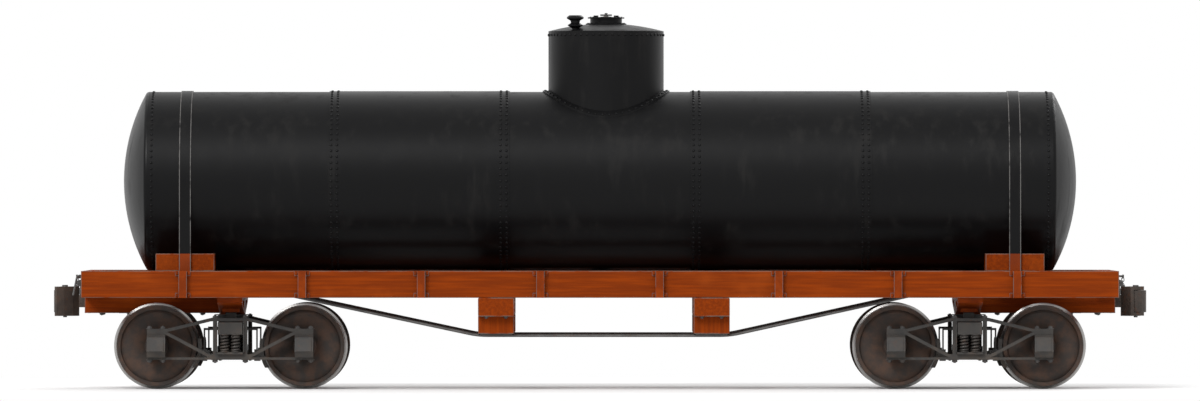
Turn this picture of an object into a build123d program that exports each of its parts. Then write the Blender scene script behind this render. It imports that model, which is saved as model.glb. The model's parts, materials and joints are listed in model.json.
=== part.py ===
from build123d import *
import os
from math import atan, cos, pi, sin, sqrt

# A railway tank car: a riveted iron tank with one dome, on a timber underframe
# with truss rods, carried by two arch-bar trucks.
# Millimetres. X runs along the car, Y across it, Z up from the wheel flanges.
os.makedirs("parts", exist_ok=True)

# Driving dimensions

# Wheelsets
wheel_tread_radius = 419
wheel_flange_height = 25
wheel_back_to_back = 1353
wheel_rim_width = 140
wheel_rim_depth = 48
wheel_plate = 28
wheel_plate_bulge = 26
wheel_plate_setback = 80
wheel_hub_radius = 125
wheel_hub_reach = 12
axle_radius = 66
wheel_seat_radius = 78
journal_radius = 54
journal_collar_radius = 63
journal_collar_width = 14
journal_length = 203
journal_to_wheel = 34.5
journal_clearance = 0.5

# Trucks
truck_setback = 1524
wheelbase = 1524
arch_bar_width = 102
arch_bar_thickness = 32
arch_bend_radius = 60
arch_bend_gap = 16
tie_bar_thickness = 25
box_length = 190
box_height = 230
box_back_gap = 5
box_end_wall = 12
box_lid_width = 150
box_lid_thickness = 9
column_thickness = 42
column_clearance = 8
column_flange_thickness = 12
arch_rise = 256
truck_bolster_length = 254
truck_bolster_rise = 271
truck_bolster_end_drop = 25
truck_bolster_end_height = 125
truck_bolster_mid_height = 175
truck_bolster_flat_y = 520
truck_bolster_overhang = 90
bowl_floor = 20
bowl_wall = 30
bowl_rim_height = 15
spring_plank_thickness = 22
spring_plank_lip = 12
spring_plank_lip_height = 60
spring_radius = 50
spring_gap = 6
shoe_gap = 8
shoe_thickness = 38
shoe_width = 82
brake_beam_drop = 94
brake_beam_thickness = 36
brake_beam_height = 64
top_bar_landing = 20
inverted_bar_landing = 40
column_flange_overhang = 25
column_flange_drop = 30
truck_bolster_seat = 120
box_end_play = 6
box_lid_foot_reach = 36
box_lid_foot_rise = 60
box_lid_head_setback = 14
box_lid_head_drop = 26
box_brow_setback = 40
shoe_line_share = 0.64
shoe_rise = 20
brake_head_depth = 26
brake_head_shift = 4

# Underframe timbers
frame_length = 10668
frame_width = 2640
sill_depth = 275
wheel_to_sill_gap = 57
side_sill_width = 127
centre_sill_width = 127
centre_sill_gap = 356
intermediate_sill_width = 127
intermediate_sill_setback = 637
end_sill_thickness = 203
timber_edge = 8

# Tank
tank_radius = 926
tank_setback = 396
course_count = 5
course_lap = 8
head_crown_radius = 1890
head_knuckle_radius = 40
seat_clearance = 0.3

# Dome, manway and safety valve
dome_x = 63
dome_radius = 598
dome_plate = 14
dome_wall_height = 628
dome_flange_width = 60
dome_flange_thickness = 14
crown_rise = 80
crown_plate = 14
manway_bore_radius = 150
collar_wall = 15
collar_height = 66
lid_overhang = 25
lid_thickness = 14
lid_gap = 0.4
hinge_radius = 11
hinge_setback = 24
hinge_ear_width = 20
hinge_ear_x = 48
hinge_clearance = 0.3
hinge_ear_drop = 46
hinge_ear_foot = 24
hinge_ear_root = 8
hinge_ear_tuck = 4
hinge_ear_front = 5
hinge_ear_crown = 5
hinge_ear_back = 6
hinge_ear_back_drop = 10
hinge_barrel_gap = 1
hinge_pin_reach = 4
lid_strap_overlap = 20
lid_strap_relief = 1
lid_edge = 4
lid_lug_setback = 85
lid_lug_sink = 2
valve_setback = 86
valve_offset_x = -319
valve_foot_radius = 33
valve_foot_depth = 28

# Tank cradles and bands
cradle_setback = 1056
cradle_length = 605
cradle_height = 177
cradle_inner_y = 300
cradle_outer_gap = 21
band_width = 121
band_thickness = 10
band_leg_depth = 150
anchor_thickness = 18
anchor_leg_overlap = 10
anchor_top_drop = 40

# Stake pockets on the side sills
pocket_setback = 1046.5
pocket_count = 8
pocket_flange_length = 158
pocket_flange_height = 51
pocket_flange_thickness = 14
pocket_flange_corner = 10
pocket_width = 84
pocket_depth = 60
pocket_wall = 13

# Queen posts and truss rods
queen_shift = 40
queen_outer_x = 1294
queen_length = 370
queen_post_width = 180
needle_depth = 190
truss_drop = 391
truss_rise = 153
truss_rod_radius = 14
inner_rod_gap = 95
outer_rod_gap = 63
rod_bend_radius = 900
rod_seat_thickness = 8
rod_seat_setback = 20
rod_nut_size = 52
rod_nut_thickness = 26
rod_washer_radius = 42
rod_washer_thickness = 10
rod_end_reach = 8
rod_hole_clearance = 3
bolster_post_size = 70

# Body bolsters and centre plates
bolster_length = 254
bolster_end_depth = 50
bolster_web_share = 0.19
window_inner_y = 300
window_outer_y = 820
centre_plate_height = 30
centre_plate_radius = 140
centre_plate_flange = 50
centre_plate_flange_thickness = 10
centre_plate_gap = 0.5
king_pin_radius = 22
king_pin_clearance = 2
king_pin_setback = 30
side_bearing_y = 635
side_bearing_size = 110
body_bearing_length = 176
side_bearing_drop = 22
side_bearing_gap = 6

# Couplers and draft gear
coupler_drop = 44
shank_size = 127
shank_side_clearance = 12
shank_top_clearance = 14
shank_tail_setback = 434
coupler_head_gap = 70
coupler_reach = 262
knuckle_height = 229
knuckle_clearance = 2
lug_thickness = 38
barrel_radius = 46
barrel_clearance = 6
head_lug_radius = 56
pivot_u = 150
pivot_v = -92
knuckle_pin_radius = 20
pin_clearance = 1
pin_head_overhang = 10
pin_head_thickness = 15
draft_timber_depth = 165
draft_timber_width = 127
draft_follower_thickness = 38
draft_follower_height = 200
draft_spring_radius = 82
draft_spring_length = 260
yoke_thickness = 25
yoke_width = 110
yoke_grip = 90
carrier_thickness = 37
carrier_width = 80
striking_thickness = 20
striking_width = 360
striking_height = 170

# Brake gear, train pipe and outlet
brake_gear_setback = 223
brake_cylinder_radius = 120
brake_cylinder_length = 420
brake_cylinder_x = -120
cylinder_flange = 14
cylinder_foot_thickness = 24
cylinder_foot_height = 120
piston_rod_radius = 22
piston_rod_length = 150
reservoir_radius = 125
reservoir_length = 660
reservoir_end_radius = 36
reservoir_gap = 104
reservoir_strap_width = 40
reservoir_strap_thickness = 8
reservoir_strap_setback = 120
reservoir_foot_height = 70
pull_rod_gap = 53.5
pull_rod_radius = 12
pull_rod_rise = 30
brake_lever_foot = 16
brake_lever_heel = 24
train_pipe_radius = 21
train_pipe_gap = 155
train_pipe_rise = 65
cock_reach = 60
nipple_radius = 24
nipple_drop = 120
nipple_boss_radius = 31
nipple_boss_drop = 40
outlet_radius = 70
outlet_wall = 12
outlet_bore_depth = 150
outlet_drop = 210
outlet_flange = 35
outlet_root = 30
outlet_flange_depth = 40

# Levers and grab irons on the end sills
lever_radius = 11
lever_offset_x = 42
lever_drop = 60
lever_setback = 60
lever_bracket_inner_y = 260
lever_bracket_setback = 240
grab_radius = 8
grab_width = 400
grab_drop = 150
grab_setback = 450
grab_reach = 64
rod_corner_radius = 24

# Places worked out from the driving dimensions

axle_z = wheel_tread_radius + wheel_flange_height
flange_radius = wheel_tread_radius + wheel_flange_height
wheel_inner_y = wheel_back_to_back / 2
wheel_outer_y = wheel_inner_y + wheel_rim_width
journal_y = wheel_outer_y + journal_to_wheel + journal_length / 2
sill_bottom_z = axle_z + flange_radius + wheel_to_sill_gap
sill_top_z = sill_bottom_z + sill_depth
half_frame = frame_length / 2
half_width = frame_width / 2
end_sill_inner_x = half_frame - end_sill_thickness
side_sill_inner_y = half_width - side_sill_width
centre_sill_inner_y = centre_sill_gap / 2
centre_sill_outer_y = centre_sill_inner_y + centre_sill_width
intermediate_sill_y = half_width - intermediate_sill_setback
intermediate_outer_y = intermediate_sill_y + intermediate_sill_width / 2
tank_z = sill_top_z + tank_radius
tank_top_z = tank_z + tank_radius
head_depth = head_crown_radius - sqrt(
    (head_crown_radius - head_knuckle_radius) ** 2 - (tank_radius - head_knuckle_radius) ** 2
)
shell_half = half_frame - tank_setback - head_depth
dome_top_z = tank_top_z + dome_wall_height
crown_top_z = dome_top_z + crown_rise
crown_radius = (dome_radius**2 + crown_rise**2) / (2 * crown_rise)
collar_radius = manway_bore_radius + collar_wall
truck_x = half_frame - truck_setback
cradle_x = half_frame - cradle_setback
truss_rod_ys = (centre_sill_outer_y + inner_rod_gap, side_sill_inner_y - outer_rod_gap)
truss_low_z = sill_bottom_z - truss_drop
truss_high_z = sill_bottom_z + truss_rise
train_pipe_y = centre_sill_outer_y + train_pipe_gap
train_pipe_z = sill_bottom_z + train_pipe_rise
coupler_z = sill_bottom_z - coupler_drop
truck_xs = {"a": -truck_x, "b": truck_x}
sides = (-1, 1)


def save(part, name):
    """Name one finished piece and write it as its own file."""
    part.label = name
    export_step(part, f"parts/{name}.step")


# Timbers of the underframe

with BuildPart() as side_sills:
    for side in sides:
        with Locations((0, side * (side_sill_inner_y + side_sill_width / 2), sill_bottom_z)):
            Box(frame_length, side_sill_width, sill_depth, align=(Align.CENTER, Align.CENTER, Align.MIN))
    chamfer(side_sills.edges().filter_by(Axis.X), timber_edge)
save(side_sills.part, "side_sills")

inner_length = 2 * end_sill_inner_x
with BuildPart() as centre_sills:
    for side in sides:
        with Locations((0, side * (centre_sill_inner_y + centre_sill_width / 2), sill_bottom_z)):
            Box(inner_length, centre_sill_width, sill_depth, align=(Align.CENTER, Align.CENTER, Align.MIN))
save(centre_sills.part, "centre_sills")

with BuildPart() as intermediate_sills:
    for side in sides:
        with Locations((0, side * intermediate_sill_y, sill_bottom_z)):
            Box(
                inner_length,
                intermediate_sill_width,
                sill_depth,
                align=(Align.CENTER, Align.CENTER, Align.MIN),
            )
save(intermediate_sills.part, "intermediate_sills")

# The end sills fit between the side sills. The coupler shank passes through a notch,
# and the truss rods and the train pipe through holes.
shank_notch_half = shank_size / 2 + shank_side_clearance
shank_notch_top_z = coupler_z + shank_size / 2 + shank_top_clearance
with BuildPart() as end_sills:
    for side in sides:
        with Locations((side * (half_frame - end_sill_thickness / 2), 0, sill_bottom_z)):
            Box(
                end_sill_thickness,
                2 * side_sill_inner_y,
                sill_depth,
                align=(Align.CENTER, Align.CENTER, Align.MIN),
            )
    chamfer(end_sills.edges().filter_by(Axis.Y), timber_edge)
    with BuildSketch(Plane.YZ.offset(-half_frame)):
        for side in sides:
            for rod_y in truss_rod_ys:
                with Locations((side * rod_y, truss_high_z)):
                    Circle(truss_rod_radius + rod_hole_clearance)
        with Locations((train_pipe_y, train_pipe_z)):
            Circle(train_pipe_radius + seat_clearance)
        with Locations((0, shank_notch_top_z)):
            Rectangle(
                2 * shank_notch_half,
                2 * (shank_notch_top_z - sill_bottom_z),
                align=(Align.CENTER, Align.MAX),
            )
    extrude(amount=frame_length, mode=Mode.SUBTRACT)
save(end_sills.part, "end_sills")

# Needle beams and the queen posts under them

queen_xs = [
    queen_shift + side * (queen_outer_x - queen_length / 2)
    for side in sides
]
queen_bottom_z = truss_low_z + truss_rod_radius + rod_seat_thickness
needle_bottom_z = sill_bottom_z - needle_depth

with BuildPart() as needle_beams:
    for queen_x in queen_xs:
        with Locations((queen_x, 0, needle_bottom_z)):
            Box(queen_length, frame_width, needle_depth, align=(Align.CENTER, Align.CENTER, Align.MIN))
    chamfer(needle_beams.edges().filter_by(Axis.Y), timber_edge)
save(needle_beams.part, "needle_beams")

with BuildPart() as queen_posts:
    for queen_x in queen_xs:
        for side in sides:
            for rod_y in truss_rod_ys:
                with Locations((queen_x, side * rod_y, queen_bottom_z)):
                    Box(
                        queen_length,
                        queen_post_width,
                        needle_bottom_z - queen_bottom_z,
                        align=(Align.CENTER, Align.CENTER, Align.MIN),
                    )
    chamfer(queen_posts.edges().filter_by(Axis.Z), timber_edge)
save(queen_posts.part, "queen_posts")

# Truss rods. Each rod runs from a nut outside one end sill, level to the bolster,
# down to the queen posts, level under both, and back up to the other end.
rod_end_x = half_frame + rod_washer_thickness + rod_nut_thickness + rod_end_reach
rod_turn_left_x = queen_shift - queen_outer_x
rod_turn_right_x = queen_shift + queen_outer_x
rod_route = [
    (-rod_end_x, truss_high_z),
    (-truck_x, truss_high_z),
    (rod_turn_left_x, truss_low_z),
    (rod_turn_right_x, truss_low_z),
    (truck_x, truss_high_z),
    (rod_end_x, truss_high_z),
]

with BuildPart() as truss_rods:
    for side in sides:
        for rod_y in truss_rod_ys:
            y = side * rod_y
            with BuildLine() as rod_path:
                FilletPolyline(*[(x, y, z) for x, z in rod_route], radius=rod_bend_radius)
            with BuildSketch(Plane(origin=(-rod_end_x, y, truss_high_z), z_dir=(1, 0, 0))):
                Circle(truss_rod_radius)
            sweep(path=rod_path.wire())
            for end in sides:
                washer_plane = Plane(origin=(end * half_frame, y, truss_high_z), z_dir=(end, 0, 0))
                with BuildSketch(washer_plane):
                    Circle(rod_washer_radius)
                extrude(amount=rod_washer_thickness)
                with BuildSketch(washer_plane.offset(rod_washer_thickness)):
                    RegularPolygon(rod_nut_size / 2, 6, major_radius=False)
                extrude(amount=rod_nut_thickness)
save(truss_rods.part, "truss_rods")

# Iron seats that hold each rod: a grooved shoe under every queen post and a post on
# every body bolster, with the rod lying in a groove.
with BuildPart() as rod_seats:
    for side in sides:
        for rod_y in truss_rod_ys:
            y = side * rod_y
            for queen_x in queen_xs:
                with Locations((queen_x, y, queen_bottom_z)):
                    Box(
                        queen_length - 2 * rod_seat_setback,
                        bolster_post_size,
                        rod_seat_thickness + truss_rod_radius,
                        align=(Align.CENTER, Align.CENTER, Align.MAX),
                    )
            for bolster_x in truck_xs.values():
                with Locations((bolster_x, y, sill_bottom_z)):
                    Box(
                        bolster_post_size,
                        bolster_post_size,
                        truss_high_z - sill_bottom_z,
                        align=(Align.CENTER, Align.CENTER, Align.MIN),
                    )
    for side in sides:
        for rod_y in truss_rod_ys:
            with BuildLine() as groove_path:
                FilletPolyline(*[(x, side * rod_y, z) for x, z in rod_route], radius=rod_bend_radius)
            groove_start = Plane(origin=(-rod_end_x, side * rod_y, truss_high_z), z_dir=(1, 0, 0))
            with BuildSketch(groove_start):
                Circle(truss_rod_radius + seat_clearance)
            sweep(path=groove_path.wire(), mode=Mode.SUBTRACT)
save(rod_seats.part, "rod_seats")

# Stake pockets, bolted on the outside of both side sills
pocket_pitch = (frame_length - 2 * pocket_setback) / (pocket_count - 1)
pocket_xs = [pocket_pitch * (i - (pocket_count - 1) / 2) for i in range(pocket_count)]
with BuildPart() as stake_pockets:
    for side in sides:
        face = Plane(origin=(0, side * half_width, sill_bottom_z), x_dir=(1, 0, 0), z_dir=(0, side, 0))
        up = -side
        for pocket_x in pocket_xs:
            with BuildSketch(face):
                for low in (0, sill_depth - pocket_flange_height):
                    with Locations((pocket_x, up * (low + pocket_flange_height / 2))):
                        RectangleRounded(pocket_flange_length, pocket_flange_height, pocket_flange_corner)
            extrude(amount=pocket_flange_thickness)
            with BuildSketch(face):
                with Locations((pocket_x, up * sill_depth / 2)):
                    Rectangle(pocket_width, sill_depth)
            extrude(amount=pocket_depth)
    for side in sides:
        with BuildSketch(Plane.XY.offset(sill_bottom_z)):
            for pocket_x in pocket_xs:
                with Locations((pocket_x, side * (half_width + (pocket_depth - pocket_wall) / 2))):
                    Rectangle(pocket_width - 2 * pocket_wall, pocket_depth - pocket_wall)
        extrude(amount=sill_depth, mode=Mode.SUBTRACT)
save(stake_pockets.part, "stake_pockets")

# Body bolsters: fish-bellied castings under the sills, with side bearings

truck_bolster_top_z = axle_z + truck_bolster_rise
bowl_floor_z = truck_bolster_top_z + bowl_floor
bolster_centre_z = bowl_floor_z + centre_plate_height
bolster_end_z = sill_bottom_z - bolster_end_depth
bolster_web = bolster_web_share * (sill_bottom_z - bolster_centre_z)
centre_flange_radius = centre_plate_radius + centre_plate_flange
bolster_slope = (bolster_end_z - bolster_centre_z) / (side_sill_inner_y - centre_flange_radius)


def bolster_underside(y):
    """Height of the body bolster's underside at a distance y from the centre line."""
    return bolster_centre_z + bolster_slope * max(0, abs(y) - centre_flange_radius)


side_bearing_top_z = bolster_underside(side_bearing_y + side_bearing_size / 2)
side_bearing_bottom_z = bolster_underside(side_bearing_y - side_bearing_size / 2) - side_bearing_drop

with BuildPart() as body_bolsters:
    for bolster_x in truck_xs.values():
        start = Plane.YZ.offset(bolster_x - bolster_length / 2)
        with BuildSketch(start):
            with BuildLine():
                Polyline(
                    (-side_sill_inner_y, sill_bottom_z),
                    (-side_sill_inner_y, bolster_end_z),
                    (-centre_flange_radius, bolster_centre_z),
                    (centre_flange_radius, bolster_centre_z),
                    (side_sill_inner_y, bolster_end_z),
                    (side_sill_inner_y, sill_bottom_z),
                    close=True,
                )
            make_face()
            for side in sides:
                with BuildLine():
                    Polyline(
                        (side * window_inner_y, sill_bottom_z - bolster_web),
                        (side * window_inner_y, bolster_underside(window_inner_y) + bolster_web),
                        (side * window_outer_y, bolster_underside(window_outer_y) + bolster_web),
                        (side * window_outer_y, sill_bottom_z - bolster_web),
                        close=True,
                    )
                make_face(mode=Mode.SUBTRACT)
        extrude(amount=bolster_length)
        for side in sides:
            with Locations((bolster_x, side * side_bearing_y, side_bearing_bottom_z)):
                Box(
                    body_bearing_length,
                    side_bearing_size,
                    side_bearing_top_z - side_bearing_bottom_z + bolster_web / 2,
                    align=(Align.CENTER, Align.CENTER, Align.MIN),
                )
save(body_bolsters.part, "body_bolsters")

# Centre plates with their king pins
king_pin_bottom_z = truck_bolster_top_z - truck_bolster_mid_height + king_pin_setback
with BuildPart() as centre_plates:
    for bolster_x in truck_xs.values():
        with BuildSketch(Plane.XY.offset(bowl_floor_z + centre_plate_gap)):
            with Locations((bolster_x, 0)):
                Circle(centre_plate_radius)
        extrude(amount=bolster_centre_z - bowl_floor_z - centre_plate_gap)
        with BuildSketch(Plane.XY.offset(bolster_centre_z)):
            with Locations((bolster_x, 0)):
                Circle(centre_flange_radius)
        extrude(amount=-centre_plate_flange_thickness)
        with BuildSketch(Plane.XY.offset(king_pin_bottom_z)):
            with Locations((bolster_x, 0)):
                Circle(king_pin_radius)
        extrude(amount=bolster_centre_z - king_pin_bottom_z)
save(centre_plates.part, "centre_plates")

# Tank

# The barrel is rolled in rings of plate, and every second ring laps outside its neighbours.
course_length = 2 * shell_half / course_count
with BuildPart() as tank_shell:
    for course in range(course_count):
        with BuildSketch(Plane.YZ.offset(-shell_half + course * course_length)):
            with Locations((0, tank_z)):
                Circle(tank_radius + course_lap * (course % 2))
        extrude(amount=course_length)
save(tank_shell.part, "tank_shell")

# One head is turned about the tank's axis: a short knuckle and a shallow crown.
knuckle_centre = (shell_half, tank_z + tank_radius - head_knuckle_radius)
crown_centre_x = shell_half + head_depth - head_crown_radius
knuckle_turn = atan((knuckle_centre[1] - tank_z) / (knuckle_centre[0] - crown_centre_x))
tangent_point = (
    crown_centre_x + head_crown_radius * cos(knuckle_turn),
    tank_z + head_crown_radius * sin(knuckle_turn),
)
knuckle_mid_turn = (knuckle_turn + pi / 2) / 2
knuckle_mid = (
    knuckle_centre[0] + head_knuckle_radius * cos(knuckle_mid_turn),
    knuckle_centre[1] + head_knuckle_radius * sin(knuckle_mid_turn),
)
crown_mid_turn = knuckle_turn / 2
crown_mid = (
    crown_centre_x + head_crown_radius * cos(crown_mid_turn),
    tank_z + head_crown_radius * sin(crown_mid_turn),
)
for name, end in (("tank_head_a", -1), ("tank_head_b", 1)):
    with BuildPart() as tank_head:
        with BuildSketch(Plane.XZ):
            with BuildLine():
                Line((end * shell_half, tank_z), (end * shell_half, tank_top_z))
                ThreePointArc(
                    (end * shell_half, tank_top_z),
                    (end * knuckle_mid[0], knuckle_mid[1]),
                    (end * tangent_point[0], tangent_point[1]),
                )
                ThreePointArc(
                    (end * tangent_point[0], tangent_point[1]),
                    (end * crown_mid[0], crown_mid[1]),
                    (end * (shell_half + head_depth), tank_z),
                )
                Line((end * (shell_half + head_depth), tank_z), (end * shell_half, tank_z))
            make_face()
        revolve(axis=Axis((0, 0, tank_z), (1, 0, 0)))
    save(tank_head.part, name)

# Cradle blocks: timber, hollowed to the tank
cradle_outer_y = tank_radius - cradle_outer_gap
with BuildPart() as tank_cradles:
    for end in sides:
        for side in sides:
            with Locations((end * cradle_x, side * (cradle_inner_y + cradle_outer_y) / 2, sill_top_z)):
                Box(
                    cradle_length,
                    cradle_outer_y - cradle_inner_y,
                    cradle_height,
                    align=(Align.CENTER, Align.CENTER, Align.MIN),
                )
    with BuildSketch(Plane.YZ.offset(-shell_half)):
        with Locations((0, tank_z)):
            Circle(tank_radius + seat_clearance)
    extrude(amount=2 * shell_half, mode=Mode.SUBTRACT)
save(tank_cradles.part, "tank_cradles")

# Bands: over the tank and straight down past the cradles to anchors between the sills
band_inner_radius = tank_radius + seat_clearance
band_outer_radius = band_inner_radius + band_thickness
band_leg_bottom_z = sill_top_z - band_leg_depth
with BuildPart() as tank_bands:
    for end in sides:
        with BuildSketch(Plane.YZ.offset(end * cradle_x - band_width / 2)):
            with Locations((0, tank_z)):
                Circle(band_outer_radius)
            with Locations((0, tank_z)):
                Rectangle(
                    2 * band_outer_radius,
                    tank_z - band_leg_bottom_z,
                    align=(Align.CENTER, Align.MAX),
                )
            with Locations((0, tank_z)):
                Circle(band_inner_radius, mode=Mode.SUBTRACT)
            with Locations((0, tank_z)):
                Rectangle(
                    2 * band_inner_radius,
                    2 * tank_radius,
                    align=(Align.CENTER, Align.MAX),
                    mode=Mode.SUBTRACT,
                )
        extrude(amount=band_width)
save(tank_bands.part, "tank_bands")

# Anchors: gusseted brackets on the outer faces of the intermediate sills
anchor_leg_z = band_leg_bottom_z + anchor_leg_overlap
anchor_foot_z = sill_bottom_z + anchor_top_drop
anchor_top_z = sill_top_z - anchor_top_drop
with BuildPart() as band_anchors:
    for end in sides:
        with BuildSketch(Plane.YZ.offset(end * cradle_x - band_width / 2)):
            for side in sides:
                with BuildLine():
                    Polyline(
                        (side * band_inner_radius, anchor_leg_z),
                        (side * (band_inner_radius - anchor_thickness), anchor_leg_z),
                        (side * intermediate_outer_y, anchor_foot_z),
                        (side * intermediate_outer_y, anchor_top_z),
                        (side * band_inner_radius, anchor_top_z),
                        close=True,
                    )
                make_face()
        extrude(amount=band_width)
save(band_anchors.part, "band_anchors")

# Dome

# The wall follows the tank where it stands on it, and flares into a riveted flange.
with BuildPart() as dome_wall:
    with BuildSketch(Plane.XY.offset(tank_z)):
        with Locations((dome_x, 0)):
            Circle(dome_radius)
    extrude(amount=dome_top_z - tank_z)
    with BuildSketch(Plane.YZ.offset(dome_x - dome_radius - dome_flange_width)):
        with Locations((0, tank_z)):
            Circle(tank_radius + dome_flange_thickness)
    extrude(amount=2 * (dome_radius + dome_flange_width))
    with BuildSketch(Plane.XY.offset(tank_z)):
        with Locations((dome_x, 0)):
            Circle(dome_radius + dome_flange_width)
    extrude(amount=dome_top_z - tank_z, mode=Mode.INTERSECT)
    with BuildSketch(Plane.XY.offset(tank_z)):
        with Locations((dome_x, 0)):
            Circle(dome_radius - dome_plate)
    extrude(amount=dome_top_z - tank_z, mode=Mode.SUBTRACT)
    with BuildSketch(Plane.YZ.offset(-shell_half)):
        with Locations((0, tank_z)):
            Circle(tank_radius + seat_clearance)
    extrude(amount=2 * shell_half, mode=Mode.SUBTRACT)
save(dome_wall.part, "dome_wall")

# The crown is a shallow spun cap with a flanged rim and a hole for the manway.
crown_centre_z = crown_top_z - crown_radius
crown_inner_radius = crown_radius - crown_plate


def crown_height(r, sphere=crown_radius):
    """Height of the crown at a distance r from the dome's axis."""
    return crown_centre_z + sqrt(sphere**2 - r**2)


valve_r = dome_radius - valve_setback
valve_x = dome_x + valve_offset_x
valve_y = -sqrt(valve_r**2 - valve_offset_x**2)
with BuildPart() as dome_crown:
    with BuildSketch(Plane.XZ):
        with BuildLine():
            Line(
                (dome_x + collar_radius, crown_height(collar_radius)),
                (dome_x + collar_radius, crown_height(collar_radius, crown_inner_radius)),
            )
            ThreePointArc(
                (dome_x + collar_radius, crown_height(collar_radius, crown_inner_radius)),
                (dome_x + dome_radius / 2, crown_height(dome_radius / 2, crown_inner_radius)),
                (dome_x + dome_radius - dome_plate, dome_top_z),
            )
            Line((dome_x + dome_radius - dome_plate, dome_top_z), (dome_x + dome_radius, dome_top_z))
            ThreePointArc(
                (dome_x + dome_radius, dome_top_z),
                (dome_x + dome_radius / 2, crown_height(dome_radius / 2)),
                (dome_x + collar_radius, crown_height(collar_radius)),
            )
        make_face()
    revolve(axis=Axis((dome_x, 0, 0), (0, 0, 1)))
    with BuildSketch(Plane.XY.offset(dome_top_z)):
        with Locations((valve_x, valve_y)):
            Circle(valve_foot_radius + seat_clearance)
    extrude(amount=2 * crown_rise, mode=Mode.SUBTRACT)
save(dome_crown.part, "dome_crown")

# Manway collar: a short neck, with two hinge ears at the back
collar_top_z = crown_top_z + collar_height - lid_thickness
lid_radius = collar_radius + lid_overhang
hinge_y = lid_radius + hinge_setback
hinge_z = collar_top_z + lid_thickness / 2
hinge_ear_foot_z = collar_top_z - hinge_ear_drop
ear_root_y = collar_radius - hinge_ear_root
ear_back_y = hinge_y + hinge_radius + hinge_ear_back
ear_front_y = hinge_y - hinge_radius - hinge_ear_front
ear_top_z = hinge_z + hinge_radius + hinge_ear_crown
with BuildPart() as manway_collar:
    with BuildSketch(Plane.XY.offset(crown_height(collar_radius, crown_inner_radius))):
        with Locations((dome_x, 0)):
            Circle(collar_radius)
    extrude(amount=collar_top_z - crown_height(collar_radius, crown_inner_radius))
    for side in sides:
        with BuildSketch(Plane.YZ.offset(dome_x + side * hinge_ear_x - hinge_ear_width / 2)):
            with BuildLine():
                Polyline(
                    (ear_root_y, collar_top_z - hinge_ear_tuck),
                    (ear_root_y, hinge_ear_foot_z),
                    (ear_root_y + hinge_ear_foot, hinge_ear_foot_z),
                    (ear_back_y, hinge_z - hinge_ear_back_drop),
                    (ear_back_y, ear_top_z),
                    (ear_front_y, ear_top_z),
                    (ear_front_y, collar_top_z - hinge_ear_tuck),
                    close=True,
                )
            make_face()
            with Locations((hinge_y, hinge_z)):
                Circle(hinge_radius / 2, mode=Mode.SUBTRACT)
        extrude(amount=hinge_ear_width)
    with BuildSketch(Plane.XY.offset(crown_height(collar_radius, crown_inner_radius))):
        with Locations((dome_x, 0)):
            Circle(manway_bore_radius)
    extrude(amount=collar_height * 2, mode=Mode.SUBTRACT)
save(manway_collar.part, "manway_collar")

# Manway lid with its hinge knuckle and two lifting lugs
lid_bottom_z = collar_top_z + lid_gap
lid_top_z = lid_bottom_z + lid_thickness
barrel_half = hinge_ear_x - hinge_ear_width / 2 - hinge_barrel_gap
hinge_pin_half = hinge_ear_x + hinge_ear_width / 2 + hinge_pin_reach
lug_x = lid_radius - lid_lug_setback
lug_size = (50, 24, 20)
with BuildPart() as manway_lid:
    with BuildSketch(Plane.XY.offset(lid_bottom_z)):
        with Locations((dome_x, 0)):
            Circle(lid_radius)
    extrude(amount=lid_thickness)
    chamfer(manway_lid.edges().group_by(Axis.Z)[-1], lid_edge)
    with BuildSketch(Plane.YZ.offset(dome_x - barrel_half)):
        with Locations((hinge_y, hinge_z)):
            Circle(hinge_radius)
        with Locations((hinge_y, hinge_z)):
            Rectangle(
                hinge_y - lid_radius + lid_strap_overlap,
                lid_thickness - 2 * lid_strap_relief,
                align=(Align.MAX, Align.CENTER),
            )
    extrude(amount=2 * barrel_half)
    for lug_side in sides:
        with Locations((dome_x + lug_side * lug_x, 0, lid_top_z - lid_lug_sink)):
            Box(*lug_size, align=(Align.CENTER, Align.CENTER, Align.MIN))
    with BuildSketch(Plane.YZ.offset(dome_x - hinge_pin_half)):
        with Locations((hinge_y, hinge_z)):
            Circle(hinge_radius / 2 - hinge_clearance)
    extrude(amount=2 * hinge_pin_half)
save(manway_lid.part, "manway_lid")

# T-handle in the middle of the lid: a turned boss, outlined as (radius, height over the
# lid), with a crossbar through it
boss_outline = [(34, 0), (26, 10), (12, 16), (12, 32), (18, 36), (14, 42)]
boss_height = 44
handle_bar_radius = 8
handle_bar_length = 120
handle_bar_height = 22
with BuildPart() as lid_handle:
    with BuildSketch(Plane.XZ):
        with BuildLine():
            Polyline(
                (dome_x, lid_top_z),
                *[(dome_x + r, lid_top_z + z) for r, z in boss_outline],
                (dome_x, lid_top_z + boss_height),
                close=True,
            )
        make_face()
    revolve(axis=Axis((dome_x, 0, 0), (0, 0, 1)))
    with BuildSketch(Plane.YZ.offset(dome_x - handle_bar_length / 2)):
        with Locations((0, lid_top_z + handle_bar_height)):
            Circle(handle_bar_radius)
    extrude(amount=handle_bar_length)
save(lid_handle.part, "lid_handle")

# Safety valve: a turned body whose foot passes through the crown. Outline as
# (radius, height over the crown), from the foot's flare to the cap.
valve_base_z = crown_height(valve_r)
valve_outline = [
    (valve_foot_radius, 2),
    (78, 32),
    (78, 40),
    (46, 60),
    (50, 84),
    (87, 106),
    (87, 120),
    (63, 139),
]
with BuildPart() as safety_valve:
    with BuildSketch(Plane.XZ.offset(-valve_y)):
        with BuildLine():
            Polyline(
                (valve_x, valve_base_z - valve_foot_depth),
                (valve_x + valve_foot_radius, valve_base_z - valve_foot_depth),
                *[(valve_x + r, valve_base_z + z) for r, z in valve_outline],
                (valve_x, valve_base_z + valve_outline[-1][1]),
                close=True,
            )
        make_face()
    revolve(axis=Axis((valve_x, valve_y, 0), (0, 0, 1)))
save(safety_valve.part, "safety_valve")

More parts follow.
